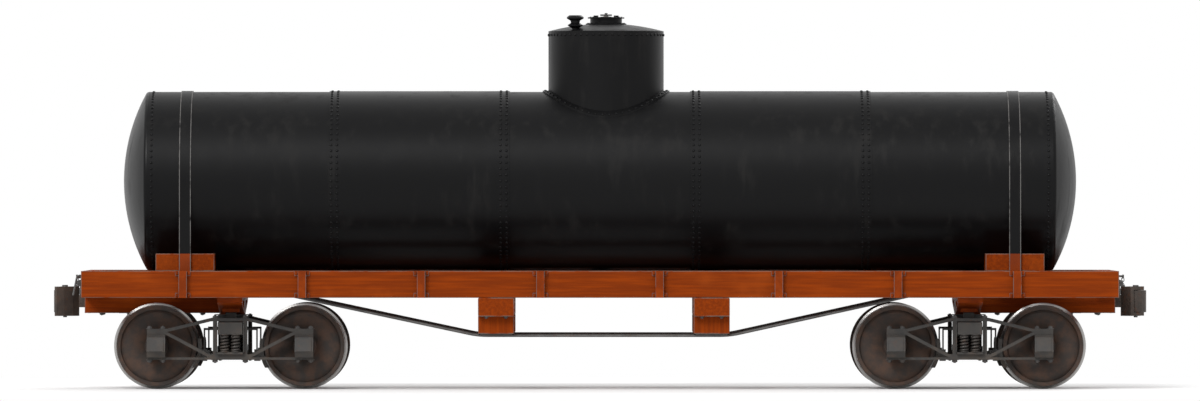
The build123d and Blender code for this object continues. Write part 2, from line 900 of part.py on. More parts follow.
# Outlet nozzle under the tank, between the centre sills
outlet_bottom_z = sill_top_z - outlet_drop
outlet_top_z = sill_top_z + outlet_root
outlet_flange_z = sill_top_z - outlet_flange_depth
with BuildPart() as outlet_nozzle:
    with BuildSketch(Plane.XY.offset(outlet_bottom_z)):
        Circle(outlet_radius)
    extrude(amount=outlet_top_z - outlet_bottom_z)
    with BuildSketch(Plane.XY.offset(outlet_flange_z)):
        Circle(outlet_radius + outlet_flange)
    extrude(amount=outlet_top_z - outlet_flange_z)
    with BuildSketch(Plane.XY.offset(outlet_bottom_z)):
        Circle(outlet_radius - outlet_wall)
    extrude(amount=outlet_bore_depth, mode=Mode.SUBTRACT)
    with BuildSketch(Plane.YZ.offset(-shell_half)):
        with Locations((0, tank_z)):
            Circle(tank_radius + seat_clearance)
    extrude(amount=2 * shell_half, mode=Mode.SUBTRACT)
save(outlet_nozzle.part, "outlet_nozzle")

# Draft timbers, draft gear, couplers

draft_inner_x = truck_x + bolster_length / 2
draft_bottom_z = sill_bottom_z - draft_timber_depth
with BuildPart() as draft_timbers:
    for end in sides:
        for side in sides:
            with Locations((
                end * (draft_inner_x + half_frame) / 2,
                side * (centre_sill_inner_y + draft_timber_width / 2),
                draft_bottom_z,
            )):
                Box(
                    half_frame - draft_inner_x,
                    draft_timber_width,
                    draft_timber_depth,
                    align=(Align.CENTER, Align.CENTER, Align.MIN),
                )
save(draft_timbers.part, "draft_timbers")

# The yoke goes round two follower plates with the draft spring between them, and grips
# the coupler's tail.
shank_tail_x = half_frame - shank_tail_setback
front_follower_x = shank_tail_x - draft_follower_thickness
spring_start_x = front_follower_x - draft_spring_length
rear_follower_x = spring_start_x - draft_follower_thickness
yoke_back_x = rear_follower_x - yoke_thickness
yoke_length = shank_tail_x + yoke_grip - yoke_back_x
filler_height = (draft_follower_height - shank_size) / 2
with BuildPart() as draft_gear:
    for end in sides:
        for follower_x in (rear_follower_x, front_follower_x):
            with Locations((end * (follower_x + draft_follower_thickness / 2), 0, coupler_z)):
                Box(draft_follower_thickness, centre_sill_gap, draft_follower_height)
        with BuildSketch(Plane.YZ.offset(end * spring_start_x)):
            with Locations((0, coupler_z)):
                Circle(draft_spring_radius)
        extrude(amount=end * draft_spring_length)
        with Locations((end * (yoke_back_x + yoke_thickness / 2), 0, coupler_z)):
            Box(yoke_thickness, yoke_width, draft_follower_height + 2 * yoke_thickness)
        for strap in sides:
            strap_z = coupler_z + strap * (draft_follower_height + yoke_thickness) / 2
            with Locations((end * (yoke_back_x + yoke_length / 2), 0, strap_z)):
                Box(yoke_length, yoke_width, yoke_thickness)
            filler_z = coupler_z + strap * (shank_size + filler_height) / 2
            with Locations((end * (shank_tail_x + yoke_grip / 2), 0, filler_z)):
                Box(yoke_grip, yoke_width, filler_height)
save(draft_gear.part, "draft_gear")

carrier_top_z = coupler_z - shank_size / 2 - seat_clearance
with BuildPart() as carrier_irons:
    for end in sides:
        with Locations((end * (half_frame - carrier_width / 2), 0, carrier_top_z)):
            Box(
                carrier_width,
                centre_sill_gap,
                carrier_thickness,
                align=(Align.CENTER, Align.CENTER, Align.MAX),
            )
save(carrier_irons.part, "carrier_irons")

with BuildPart() as striking_plates:
    for end in sides:
        with BuildSketch(Plane.YZ.offset(end * half_frame)):
            with Locations((0, sill_bottom_z)):
                Rectangle(striking_width, striking_height, align=(Align.CENTER, Align.MIN))
            with Locations((0, sill_bottom_z)):
                Rectangle(
                    2 * shank_notch_half,
                    shank_notch_top_z - sill_bottom_z,
                    align=(Align.CENTER, Align.MIN),
                    mode=Mode.SUBTRACT,
                )
        extrude(amount=end * striking_thickness)
save(striking_plates.part, "striking_plates")

# Coupler head in plan: u runs outward from the back of the head and v across it. The
# knuckle turns on a pin at (pivot_u, pivot_v), and the guard arm is on the other side.
shank_half = shank_size / 2
head_outline = [
    (0, -shank_half),
    (40, -100),
    (96, pivot_v - head_lug_radius),
    (pivot_u, pivot_v - head_lug_radius),
    (pivot_u + barrel_radius, pivot_v - 30),
    (pivot_u + barrel_radius, pivot_v + 20),
    (108, pivot_v + 70),
    (100, 40),
    (150, 100),
    (205, 132),
    (252, 176),
    (228, 196),
    (150, 168),
    (60, 120),
    (0, shank_half),
]
knuckle_room = [
    (pivot_u - 6, pivot_v - 80),
    (pivot_u + 90, pivot_v - 80),
    (pivot_u + 90, pivot_v + 84),
    (104, pivot_v + 84),
    (96, pivot_v + 30),
    (pivot_u - 52, pivot_v),
]
knuckle_outline = [
    (pivot_u, pivot_v - barrel_radius),
    (pivot_u + 60, pivot_v - 40),
    (coupler_reach - 16, pivot_v + 10),
    (coupler_reach, pivot_v + 62),
    (coupler_reach - 8, pivot_v + 110),
    (pivot_u + 52, pivot_v + 116),
    (pivot_u + 34, pivot_v + 84),
    (pivot_u + 44, pivot_v + 52),
    (pivot_u, pivot_v + barrel_radius),
]
head_corner_radius = 9
nose_corner_radius = 12
room_height = knuckle_height + 2 * knuckle_clearance
head_height = knuckle_height + 2 * lug_thickness
head_back_x = half_frame + coupler_head_gap
shank_overlap = 30


def plan_points(end, outline):
    """Plan points (u, v) of the coupler at one end of the car, as (x, y)."""
    return [(end * (head_back_x + u), end * v) for u, v in outline]


for letter, end in (("a", -1), ("b", 1)):
    pivot = (end * (head_back_x + pivot_u), end * pivot_v)
    with BuildPart() as coupler:
        with BuildSketch(Plane.XY.offset(coupler_z - head_height / 2)) as head_plan:
            with BuildLine():
                Polyline(*plan_points(end, head_outline), close=True)
            make_face()
            fillet(head_plan.vertices().filter_by(lambda p: abs(p.X) > head_back_x + 20), head_corner_radius)
        extrude(amount=head_height)
        with Locations((end * shank_tail_x, 0, coupler_z)):
            Box(
                head_back_x + shank_overlap - shank_tail_x,
                shank_size,
                shank_size,
                align=(Align.MIN if end > 0 else Align.MAX, Align.CENTER, Align.CENTER),
            )
        # The room that the knuckle turns in, between the two lugs
        with BuildSketch(Plane.XY.offset(coupler_z - room_height / 2)):
            with Locations(pivot):
                Circle(barrel_radius + barrel_clearance)
            with BuildLine():
                Polyline(*plan_points(end, knuckle_room), close=True)
            make_face()
        extrude(amount=room_height, mode=Mode.SUBTRACT)
        with BuildSketch(Plane.XY.offset(coupler_z - head_height)):
            with Locations(pivot):
                Circle(knuckle_pin_radius + pin_clearance)
        extrude(amount=2 * head_height, mode=Mode.SUBTRACT)
    save(coupler.part, f"coupler_{letter}")

    # Knuckle: a barrel on the pin, and a nose that hooks inward across the coupler's line
    with BuildPart() as knuckle:
        with BuildSketch(Plane.XY.offset(coupler_z - knuckle_height / 2)) as knuckle_plan:
            with BuildLine():
                Polyline(*plan_points(end, knuckle_outline), close=True)
            make_face()
            nose = knuckle_plan.vertices().filter_by(lambda p: abs(p.X) > head_back_x + pivot_u + 20)
            fillet(nose, nose_corner_radius)
            with Locations(pivot):
                Circle(barrel_radius)
            with Locations(pivot):
                Circle(knuckle_pin_radius + pin_clearance, mode=Mode.SUBTRACT)
        extrude(amount=knuckle_height)
    save(knuckle.part, f"knuckle_{letter}")

pin_bottom_z = coupler_z - head_height / 2 - pin_head_thickness
pin_head_z = coupler_z + head_height / 2
with BuildPart() as knuckle_pins:
    for end in sides:
        pivot = (end * (head_back_x + pivot_u), end * pivot_v)
        with BuildSketch(Plane.XY.offset(pin_bottom_z)):
            with Locations(pivot):
                Circle(knuckle_pin_radius)
        extrude(amount=pin_head_z - pin_bottom_z)
        with BuildSketch(Plane.XY.offset(pin_head_z)):
            with Locations(pivot):
                Circle(knuckle_pin_radius + pin_head_overhang)
        extrude(amount=pin_head_thickness)
save(knuckle_pins.part, "knuckle_pins")

# Uncoupling levers along the end sills, each in two brackets, with a handle hanging down
lever_z = sill_top_z - lever_drop
lever_outer_y = half_width - lever_setback
lever_nose = 60
handle_reach = 40
handle_drop = 190
bracket_width = 22
bracket_rim = 7
lever_bracket_ys = (lever_bracket_inner_y, lever_outer_y - lever_bracket_setback)
bracket_length = lever_offset_x + lever_radius + bracket_rim
with BuildPart() as uncoupling_levers:
    for end in sides:
        lever_x = end * (half_frame + lever_offset_x)
        with BuildLine() as lever_path:
            FilletPolyline(
                (lever_x + end * lever_nose, 0, lever_z),
                (lever_x, 0, lever_z),
                (lever_x, end * lever_outer_y, lever_z),
                (lever_x + end * handle_reach, end * lever_outer_y, lever_z - handle_drop),
                radius=rod_corner_radius,
            )
        with BuildSketch(Plane(origin=(lever_x + end * lever_nose, 0, lever_z), z_dir=(-end, 0, 0))):
            Circle(lever_radius)
        sweep(path=lever_path.wire())
        for bracket_y in lever_bracket_ys:
            with Locations((end * half_frame, end * bracket_y, lever_z)):
                Box(
                    bracket_length,
                    bracket_width,
                    2 * (lever_radius + bracket_rim),
                    align=(Align.MIN if end > 0 else Align.MAX, Align.CENTER, Align.CENTER),
                )
save(uncoupling_levers.part, "uncoupling_levers")

grab_z = sill_top_z - grab_drop
grab_y = half_width - grab_setback
with BuildPart() as end_grab_irons:
    for end in sides:
        for side in sides:
            inner_y = side * grab_y - grab_width / 2
            outer_y = side * grab_y + grab_width / 2
            bar_x = end * (half_frame + grab_reach)
            with BuildLine() as grab_path:
                FilletPolyline(
                    (end * half_frame, inner_y, grab_z),
                    (bar_x, inner_y, grab_z),
                    (bar_x, outer_y, grab_z),
                    (end * half_frame, outer_y, grab_z),
                    radius=rod_corner_radius,
                )
            with BuildSketch(Plane(origin=(end * half_frame, inner_y, grab_z), z_dir=(end, 0, 0))):
                Circle(grab_radius)
            sweep(path=grab_path.wire())
save(end_grab_irons.part, "end_grab_irons")

# Brake gear between the intermediate and side sills

brake_gear_y = side_sill_inner_y - brake_gear_setback
brake_gear_z = sill_bottom_z + sill_depth / 2
cylinder_back_x = brake_cylinder_x - brake_cylinder_length
foot_width = brake_gear_y - intermediate_outer_y
with BuildPart() as brake_cylinder:
    with BuildSketch(Plane.YZ.offset(cylinder_back_x)):
        with Locations((brake_gear_y, brake_gear_z)):
            Circle(brake_cylinder_radius)
    extrude(amount=brake_cylinder_length)
    for flange_x in (cylinder_back_x, brake_cylinder_x - cylinder_foot_thickness):
        with BuildSketch(Plane.YZ.offset(flange_x)):
            with Locations((brake_gear_y, brake_gear_z)):
                Circle(brake_cylinder_radius + cylinder_flange)
            with Locations((intermediate_outer_y, brake_gear_z)):
                Rectangle(foot_width, cylinder_foot_height, align=(Align.MIN, Align.CENTER))
        extrude(amount=cylinder_foot_thickness)
    with BuildSketch(Plane.YZ.offset(cylinder_back_x)):
        with Locations((brake_gear_y, brake_gear_z)):
            Circle(piston_rod_radius)
    extrude(amount=-piston_rod_length)
save(brake_cylinder.part, "brake_cylinder")

reservoir_end_x = queen_xs[1] - queen_length / 2 - reservoir_gap
reservoir_start_x = reservoir_end_x - reservoir_length
strap_xs = (
    reservoir_start_x + reservoir_strap_setback,
    reservoir_end_x - reservoir_strap_setback - reservoir_strap_width,
)
with BuildPart() as brake_reservoir:
    with BuildSketch(Plane.YZ.offset(reservoir_start_x)):
        with Locations((brake_gear_y, brake_gear_z)):
            Circle(reservoir_radius)
    extrude(amount=reservoir_length)
    fillet(brake_reservoir.edges().filter_by(GeomType.CIRCLE), reservoir_end_radius)
    for strap_x in strap_xs:
        with BuildSketch(Plane.YZ.offset(strap_x)):
            with Locations((brake_gear_y, brake_gear_z)):
                Circle(reservoir_radius + reservoir_strap_thickness)
            with Locations((intermediate_outer_y, brake_gear_z)):
                Rectangle(foot_width, reservoir_foot_height, align=(Align.MIN, Align.CENTER))
        extrude(amount=reservoir_strap_width)
save(brake_reservoir.part, "brake_reservoir")

# A lever slants down from the piston rod's eye to a pull rod, which runs from
# bracket to bracket on the body bolsters.
brake_lever_thickness = 20
brake_lever_half_width = 28
brake_lever_x = cylinder_back_x - piston_rod_length - brake_lever_thickness
pull_rod_y = intermediate_outer_y + pull_rod_gap
pull_rod_z = sill_bottom_z + pull_rod_rise
rod_bracket_size = (40, 44, 56)
with BuildPart() as brake_rods:
    with BuildSketch(Plane.YZ.offset(brake_lever_x)):
        with BuildLine():
            Polyline(
                (brake_gear_y - brake_lever_half_width, brake_gear_z + brake_lever_half_width),
                (brake_gear_y + brake_lever_half_width, brake_gear_z + brake_lever_half_width),
                (brake_gear_y + brake_lever_half_width, brake_gear_z - brake_lever_half_width),
                (pull_rod_y + brake_lever_half_width, pull_rod_z - brake_lever_foot),
                (pull_rod_y - brake_lever_half_width, pull_rod_z - brake_lever_foot),
                (pull_rod_y - brake_lever_half_width, pull_rod_z + brake_lever_heel),
                close=True,
            )
        make_face()
    extrude(amount=brake_lever_thickness)
    with BuildSketch(Plane.YZ.offset(-truck_x)):
        with Locations((pull_rod_y, pull_rod_z)):
            Circle(pull_rod_radius)
    extrude(amount=2 * truck_x)
    for bolster_x in truck_xs.values():
        with Locations((bolster_x, pull_rod_y, sill_bottom_z)):
            Box(*rod_bracket_size, align=(Align.CENTER, Align.CENTER, Align.MIN))
save(brake_rods.part, "brake_rods")

# Train pipe, with an angle cock screwed on at each end
cock_x = half_frame + cock_reach
cock_radius = 34
cock_half_length = 44
cock_plug_radius = 20
cock_plug_height = 56
cock_handle_size = (90, 18, 10)
with BuildPart() as train_pipe:
    with BuildSketch(Plane.YZ.offset(cock_half_length - cock_x)):
        with Locations((train_pipe_y, train_pipe_z)):
            Circle(train_pipe_radius)
    extrude(amount=2 * (cock_x - cock_half_length))
save(train_pipe.part, "train_pipe")

with BuildPart() as angle_cocks:
    for end in sides:
        with BuildSketch(Plane.YZ.offset(end * (cock_x - cock_half_length))):
            with Locations((train_pipe_y, train_pipe_z)):
                RegularPolygon(cock_radius, 6)
        extrude(amount=end * cock_half_length)
        with Locations((end * cock_x, train_pipe_y, train_pipe_z)):
            Sphere(cock_radius)
        for radius, drop in ((nipple_radius, nipple_drop), (nipple_boss_radius, nipple_boss_drop)):
            with BuildSketch(Plane.XY.offset(train_pipe_z)):
                with Locations((end * cock_x, train_pipe_y)):
                    Circle(radius)
            extrude(amount=-drop)
        with BuildSketch(Plane.XY.offset(train_pipe_z)):
            with Locations((end * cock_x, train_pipe_y)):
                Circle(cock_plug_radius)
        extrude(amount=cock_plug_height)
        with Locations((end * cock_x, train_pipe_y, train_pipe_z + cock_plug_height)):
            Box(*cock_handle_size, align=(Align.CENTER, Align.CENTER, Align.MIN))
save(angle_cocks.part, "angle_cocks")

# Trucks

box_top_z = axle_z + box_height / 2
box_bottom_z = axle_z - box_height / 2
half_wheelbase = wheelbase / 2
bar_end_x = half_wheelbase + box_length / 2
bar_bend_x = half_wheelbase - box_length / 2 - arch_bend_gap
column_inner_x = truck_bolster_length / 2 + column_clearance
column_outer_x = column_inner_x + column_thickness
arch_top_z = axle_z + arch_rise
inverted_top_z = box_bottom_z + arch_bar_thickness
plank_top_z = inverted_top_z + spring_plank_thickness
truck_bolster_end_z = truck_bolster_top_z - truck_bolster_end_drop
bolster_end_bottom_z = truck_bolster_end_z - truck_bolster_end_height
mid_bottom_z = truck_bolster_top_z - truck_bolster_mid_height
bolster_end_y = journal_y + truck_bolster_overhang
bolster_seat_y = journal_y - truck_bolster_seat
bearing_top_z = side_bearing_bottom_z - side_bearing_gap

# Half of each bent bar, from its end over the box to its middle, as (x from the truck's
# middle, height of the bar's own middle). The top bar lies on the inverted bar.
top_bar = [
    (bar_end_x, box_top_z + 1.5 * arch_bar_thickness),
    (bar_bend_x, box_top_z + 1.5 * arch_bar_thickness),
    (column_outer_x + top_bar_landing, arch_top_z + arch_bar_thickness / 2),
]
inverted_bar = [
    (bar_end_x, box_top_z + arch_bar_thickness / 2),
    (bar_bend_x, box_top_z + arch_bar_thickness / 2),
    (column_outer_x + inverted_bar_landing, box_bottom_z + arch_bar_thickness / 2),
]

# Journal box from the side, as (distance outward from its back, height from the axle)
box_inner_y = journal_y - journal_length / 2 - box_back_gap
journal_end_y = journal_y + journal_length / 2
bore_depth = journal_end_y + journal_collar_width + box_end_play - box_inner_y
box_depth = bore_depth + box_end_wall
lid_low = (box_depth + box_lid_foot_reach, -box_height / 2 + box_lid_foot_rise)
lid_high = (box_depth - box_lid_head_setback, box_height / 2 - box_lid_head_drop)
box_outline = [
    (0, -box_height / 2),
    (box_depth, -box_height / 2),
    lid_low,
    lid_high,
    (box_depth - box_brow_setback, box_height / 2),
    (0, box_height / 2),
]
lid_slope = sqrt((lid_high[0] - lid_low[0]) ** 2 + (lid_high[1] - lid_low[1]) ** 2)
lid_out_y = box_lid_thickness * (lid_high[1] - lid_low[1]) / lid_slope
lid_out_z = box_lid_thickness * (lid_low[0] - lid_high[0]) / lid_slope
lid_outline = [
    lid_low,
    (lid_low[0] + lid_out_y, lid_low[1] + lid_out_z),
    (lid_high[0] + lid_out_y, lid_high[1] + lid_out_z),
    lid_high,
]
box_hinge_radius = 12
box_hinge_length = 96

# Brake shoes against the treads, on beams between the wheels
tread_y = wheel_inner_y + wheel_rim_width * shoe_line_share
shoe_inner_radius = wheel_tread_radius + shoe_gap
shoe_outer_radius = shoe_inner_radius + shoe_thickness
shoe_window = (260, 300)
brake_height_z = axle_z - brake_beam_drop
shoe_middle_z = brake_height_z + shoe_rise
beam_x = half_wheelbase - shoe_outer_radius - brake_head_depth
brake_head_size = (64, 60, 120)
hanger_size = (16, 34, 280)
arm_height = 22
arm_z = brake_height_z + hanger_size[2] - arm_height
arm_length = beam_x + hanger_size[0] / 2 - truck_bolster_length / 2

for letter, centre_x in truck_xs.items():
    prefix = f"truck_{letter}"

    with BuildPart() as arch_bars:
        for side in sides:
            y = side * journal_y
            for half_route in (top_bar, inverted_bar):
                right = [(centre_x + x, y, z) for x, z in half_route]
                left = [(centre_x - x, y, z) for x, z in reversed(half_route)]
                with BuildLine() as bar_line:
                    FilletPolyline(*right, *left, radius=arch_bend_radius)
                with BuildSketch(Plane(origin=right[0], x_dir=(0, 1, 0), z_dir=(-1, 0, 0))):
                    Rectangle(arch_bar_width, arch_bar_thickness)
                sweep(path=bar_line.wire())
            with Locations((centre_x, y, box_bottom_z)):
                Box(
                    2 * bar_end_x,
                    arch_bar_width,
                    tie_bar_thickness,
                    align=(Align.CENTER, Align.CENTER, Align.MAX),
                )
    save(arch_bars.part, f"{prefix}_arch_bars")

    # Flanged columns stand between the bars on each side of the bolster.
    with BuildPart() as columns:
        for side in sides:
            for end in sides:
                column_x = centre_x + end * (column_inner_x + column_outer_x) / 2
                with Locations((column_x, side * journal_y, inverted_top_z)):
                    Box(
                        column_thickness,
                        arch_bar_width,
                        arch_top_z - inverted_top_z,
                        align=(Align.CENTER, Align.CENTER, Align.MIN),
                    )
                flange_x = centre_x + end * (column_inner_x + column_flange_thickness / 2)
                with Locations((flange_x, side * journal_y, plank_top_z)):
                    Box(
                        column_flange_thickness,
                        arch_bar_width + 2 * column_flange_overhang,
                        arch_top_z - plank_top_z - column_flange_drop,
                        align=(Align.CENTER, Align.CENTER, Align.MIN),
                    )
    save(columns.part, f"{prefix}_columns")

    with BuildPart() as truck_bolster:
        with BuildSketch(Plane.YZ.offset(centre_x - truck_bolster_length / 2)):
            with BuildLine():
                Polyline(
                    (-bolster_end_y, bolster_end_bottom_z),
                    (-bolster_seat_y, bolster_end_bottom_z),
                    (-truck_bolster_flat_y, mid_bottom_z),
                    (truck_bolster_flat_y, mid_bottom_z),
                    (bolster_seat_y, bolster_end_bottom_z),
                    (bolster_end_y, bolster_end_bottom_z),
                    (bolster_end_y, truck_bolster_end_z),
                    (bolster_seat_y, truck_bolster_end_z),
                    (truck_bolster_flat_y, truck_bolster_top_z),
                    (-truck_bolster_flat_y, truck_bolster_top_z),
                    (-bolster_seat_y, truck_bolster_end_z),
                    (-bolster_end_y, truck_bolster_end_z),
                    close=True,
                )
            make_face()
        extrude(amount=truck_bolster_length)
        # Bowl for the centre plate, and the side bearings
        with BuildSketch(Plane.XY.offset(truck_bolster_top_z)):
            with Locations((centre_x, 0)):
                Circle(centre_plate_radius + bowl_wall)
        extrude(amount=bowl_floor + bowl_rim_height)
        with BuildSketch(Plane.XY.offset(bowl_floor_z)):
            with Locations((centre_x, 0)):
                Circle(centre_plate_radius + king_pin_clearance)
        extrude(amount=bowl_rim_height, mode=Mode.SUBTRACT)
        for side in sides:
            with Locations((centre_x, side * side_bearing_y, truck_bolster_end_z)):
                Box(
                    side_bearing_size,
                    side_bearing_size,
                    bearing_top_z - truck_bolster_end_z,
                    align=(Align.CENTER, Align.CENTER, Align.MIN),
                )
        with BuildSketch(Plane.XY.offset(mid_bottom_z)):
            with Locations((centre_x, 0)):
                Circle(king_pin_radius + king_pin_clearance)
        extrude(amount=bowl_floor_z - mid_bottom_z, mode=Mode.SUBTRACT)
    save(truck_bolster.part, f"{prefix}_bolster")

    with BuildPart() as spring_plank:
        with Locations((centre_x, 0, inverted_top_z)):
            Box(
                2 * column_inner_x,
                2 * bolster_end_y,
                spring_plank_thickness,
                align=(Align.CENTER, Align.CENTER, Align.MIN),
            )
        for end in sides:
            with Locations((centre_x + end * (column_inner_x - spring_plank_lip / 2), 0, plank_top_z)):
                Box(
                    spring_plank_lip,
                    2 * (journal_y - arch_bar_width),
                    spring_plank_lip_height,
                    align=(Align.CENTER, Align.CENTER, Align.MIN),
                )
    save(spring_plank.part, f"{prefix}_spring_plank")

    # Four coils in each nest, under the ends of the bolster
    spring_pitch = 2 * (spring_radius + spring_gap)
    with BuildPart() as springs:
        for side in sides:
            with Locations((centre_x, side * journal_y, plank_top_z)):
                with GridLocations(spring_pitch, spring_pitch, 2, 2):
                    Cylinder(
                        spring_radius,
                        bolster_end_bottom_z - plank_top_z,
                        align=(Align.CENTER, Align.CENTER, Align.MIN),
                    )
    save(springs.part, f"{prefix}_springs")

    # Journal boxes with sloping lids; the journal turns in a blind bore.
    with BuildPart() as journal_boxes:
        for side in sides:
            for end in sides:
                box_x = centre_x + end * half_wheelbase
                for outline, width in ((box_outline, box_length), (lid_outline, box_lid_width)):
                    with BuildSketch(Plane.YZ.offset(box_x - width / 2)):
                        with BuildLine():
                            points = [(side * (box_inner_y + y), axle_z + z) for y, z in outline]
                            Polyline(*points, close=True)
                        make_face()
                    extrude(amount=width)
                with BuildSketch(Plane.YZ.offset(box_x - box_hinge_length / 2)):
                    with Locations((side * (box_inner_y + lid_high[0]), axle_z + lid_high[1])):
                        Circle(box_hinge_radius)
                extrude(amount=box_hinge_length)
                bore_start = Plane(
                    origin=(box_x, side * box_inner_y, axle_z), x_dir=(1, 0, 0), z_dir=(0, side, 0)
                )
                with BuildSketch(bore_start):
                    Circle(journal_collar_radius + journal_clearance)
                extrude(amount=bore_depth, mode=Mode.SUBTRACT)
    save(journal_boxes.part, f"{prefix}_journal_boxes")

    # Brake beams inside the wheels: a bar with a head and shoe at each wheel, hung from
    # arms on the bolster.
    with BuildPart() as brake_beams:
        for end in sides:
            wheel_x = centre_x + end * half_wheelbase
            for side in sides:
                y = side * tread_y
                with BuildSketch(Plane.XZ.offset(-y - shoe_width / 2)):
                    with Locations((wheel_x, axle_z)):
                        Circle(shoe_outer_radius)
                        Circle(shoe_inner_radius, mode=Mode.SUBTRACT)
                    with Locations((wheel_x - end * shoe_outer_radius, shoe_middle_z)):
                        Rectangle(*shoe_window, mode=Mode.INTERSECT)
                extrude(amount=shoe_width)
                with Locations((centre_x + end * (beam_x + brake_head_shift), y, brake_height_z)):
                    Box(*brake_head_size)
                with Locations((centre_x + end * beam_x, y, brake_height_z)):
                    Box(*hanger_size, align=(Align.CENTER, Align.CENTER, Align.MIN))
                with Locations((centre_x + end * truck_bolster_length / 2, y, arm_z)):
                    Box(
                        arm_length,
                        hanger_size[1],
                        arm_height,
                        align=(Align.MIN if end > 0 else Align.MAX, Align.CENTER, Align.MIN),
                    )
            with Locations((centre_x + end * beam_x, 0, brake_height_z)):
                Box(brake_beam_thickness, 2 * tread_y, brake_beam_height)
    save(brake_beams.part, f"{prefix}_brake_beams")

# Wheelsets: an axle with two chilled iron wheels pressed on. Outlines as (distance
# along the axle, radius).

rim_inner_radius = wheel_tread_radius - wheel_rim_depth
plate_y = wheel_inner_y + wheel_plate_setback
plate_outer_y = plate_y + wheel_plate
plate_middle_radius = (rim_inner_radius + wheel_hub_radius) / 2
rim_outline = [
    (plate_y, rim_inner_radius),
    (wheel_inner_y + 6, rim_inner_radius - 4),
    (wheel_inner_y, rim_inner_radius + 6),
    (wheel_inner_y, flange_radius - 10),
    (wheel_inner_y + 9, flange_radius),
    (wheel_inner_y + 19, flange_radius),
    (wheel_inner_y + 32, wheel_tread_radius + 4),
    (wheel_inner_y + 44, wheel_tread_radius),
    (wheel_outer_y - 8, wheel_tread_radius - 4),
    (wheel_outer_y, wheel_tread_radius - 12),
    (wheel_outer_y, rim_inner_radius + 4),
    (plate_outer_y, rim_inner_radius),
]
outer_plate_arc = [
    (plate_outer_y, rim_inner_radius),
    (plate_outer_y + wheel_plate_bulge, plate_middle_radius),
    (plate_outer_y, wheel_hub_radius),
]
hub_outline = [
    (plate_outer_y, wheel_hub_radius),
    (wheel_outer_y + wheel_hub_reach, wheel_hub_radius - 8),
    (wheel_outer_y + wheel_hub_reach, 0),
    (wheel_inner_y - 10, 0),
    (wheel_inner_y - 10, wheel_hub_radius - 8),
    (plate_y, wheel_hub_radius),
]
inner_plate_arc = [
    (plate_y, wheel_hub_radius),
    (plate_y + wheel_plate_bulge, plate_middle_radius),
    (plate_y, rim_inner_radius),
]
half_axle = [
    (0, axle_radius - 5),
    (wheel_inner_y - 60, axle_radius),
    (wheel_inner_y - 20, wheel_seat_radius),
    (wheel_outer_y + wheel_hub_reach + 2, wheel_seat_radius),
    (wheel_outer_y + wheel_hub_reach + 14, journal_radius),
    (journal_end_y - 2, journal_radius),
    (journal_end_y, journal_collar_radius),
    (journal_end_y + journal_collar_width, journal_collar_radius),
    (journal_end_y + journal_collar_width, 0),
]
axle_xs = [centre_x + end * half_wheelbase for centre_x in truck_xs.values() for end in sides]
for number, axle_x in enumerate(axle_xs, 1):
    with BuildPart() as wheelset:
        for side in sides:
            rim, outer_arc, hub, inner_arc = [
                [(side * y, axle_z + r) for y, r in outline]
                for outline in (rim_outline, outer_plate_arc, hub_outline, inner_plate_arc)
            ]
            with BuildSketch(Plane.YZ.offset(axle_x)):
                with BuildLine():
                    Polyline(*rim)
                    ThreePointArc(*outer_arc)
                    Polyline(*hub)
                    ThreePointArc(*inner_arc)
                make_face()
            revolve(axis=Axis((axle_x, 0, axle_z), (0, 1, 0)))
        with BuildSketch(Plane.YZ.offset(axle_x)):
            with BuildLine():
                right = [(y, axle_z + r) for y, r in half_axle]
                left = [(-y, z) for y, z in reversed(right[1:])]
                Polyline(*right, *left, close=True)
            make_face()
        revolve(axis=Axis((axle_x, 0, axle_z), (0, 1, 0)))
    save(wheelset.part, f"wheelset_{number}")
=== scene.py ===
# %% [markdown]
# # A railway tank car
#
# The car is a riveted iron tank with one dome, strapped in timber cradles on a timber
# underframe. The CAD model brings every piece at its real size. This lesson gives the
# pieces their finishes and adds what the CAD model leaves out: rivets, bolts, nuts,
# spring coils, the ribs behind the wheels, the rounded edges of the couplers and the
# lifting chains. X runs along the car, Y across it, and Z is up.

# %% Load the CAD model
import json
import math

import bmesh
import bpy
from mathutils import Matrix, Vector


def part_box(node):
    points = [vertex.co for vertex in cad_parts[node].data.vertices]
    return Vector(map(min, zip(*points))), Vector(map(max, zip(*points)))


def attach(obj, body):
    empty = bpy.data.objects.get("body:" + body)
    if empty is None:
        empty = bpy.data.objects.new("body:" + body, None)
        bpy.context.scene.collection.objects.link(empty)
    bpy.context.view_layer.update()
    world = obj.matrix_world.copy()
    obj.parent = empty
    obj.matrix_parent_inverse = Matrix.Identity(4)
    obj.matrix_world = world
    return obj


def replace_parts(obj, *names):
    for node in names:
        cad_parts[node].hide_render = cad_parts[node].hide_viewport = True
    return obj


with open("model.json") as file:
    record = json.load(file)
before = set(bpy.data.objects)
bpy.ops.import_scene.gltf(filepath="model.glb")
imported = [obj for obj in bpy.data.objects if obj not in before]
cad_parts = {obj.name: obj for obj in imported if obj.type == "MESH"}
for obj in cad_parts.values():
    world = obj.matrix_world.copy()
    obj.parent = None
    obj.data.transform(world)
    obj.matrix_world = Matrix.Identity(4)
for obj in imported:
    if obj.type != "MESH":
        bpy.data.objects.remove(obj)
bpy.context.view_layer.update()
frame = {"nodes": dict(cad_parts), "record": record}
nodes = frame["nodes"]

# %% [markdown]
# ## The camera
#
# The picture is a side elevation, so nothing in it gets smaller with distance. A very
# long lens far away gives the same look, and it still works when the camera is moved
# to other angles. The view is a little wider than the tank, because the couplers and
# the wheels have to be in it.

# %% Camera
VIEW_WIDTH = 12.45
VIEW_CENTRE_Z = 1.945
IMAGE_ASPECT = 1200 / 401
LENS_MM = 400.0
SENSOR_MM = 36.0

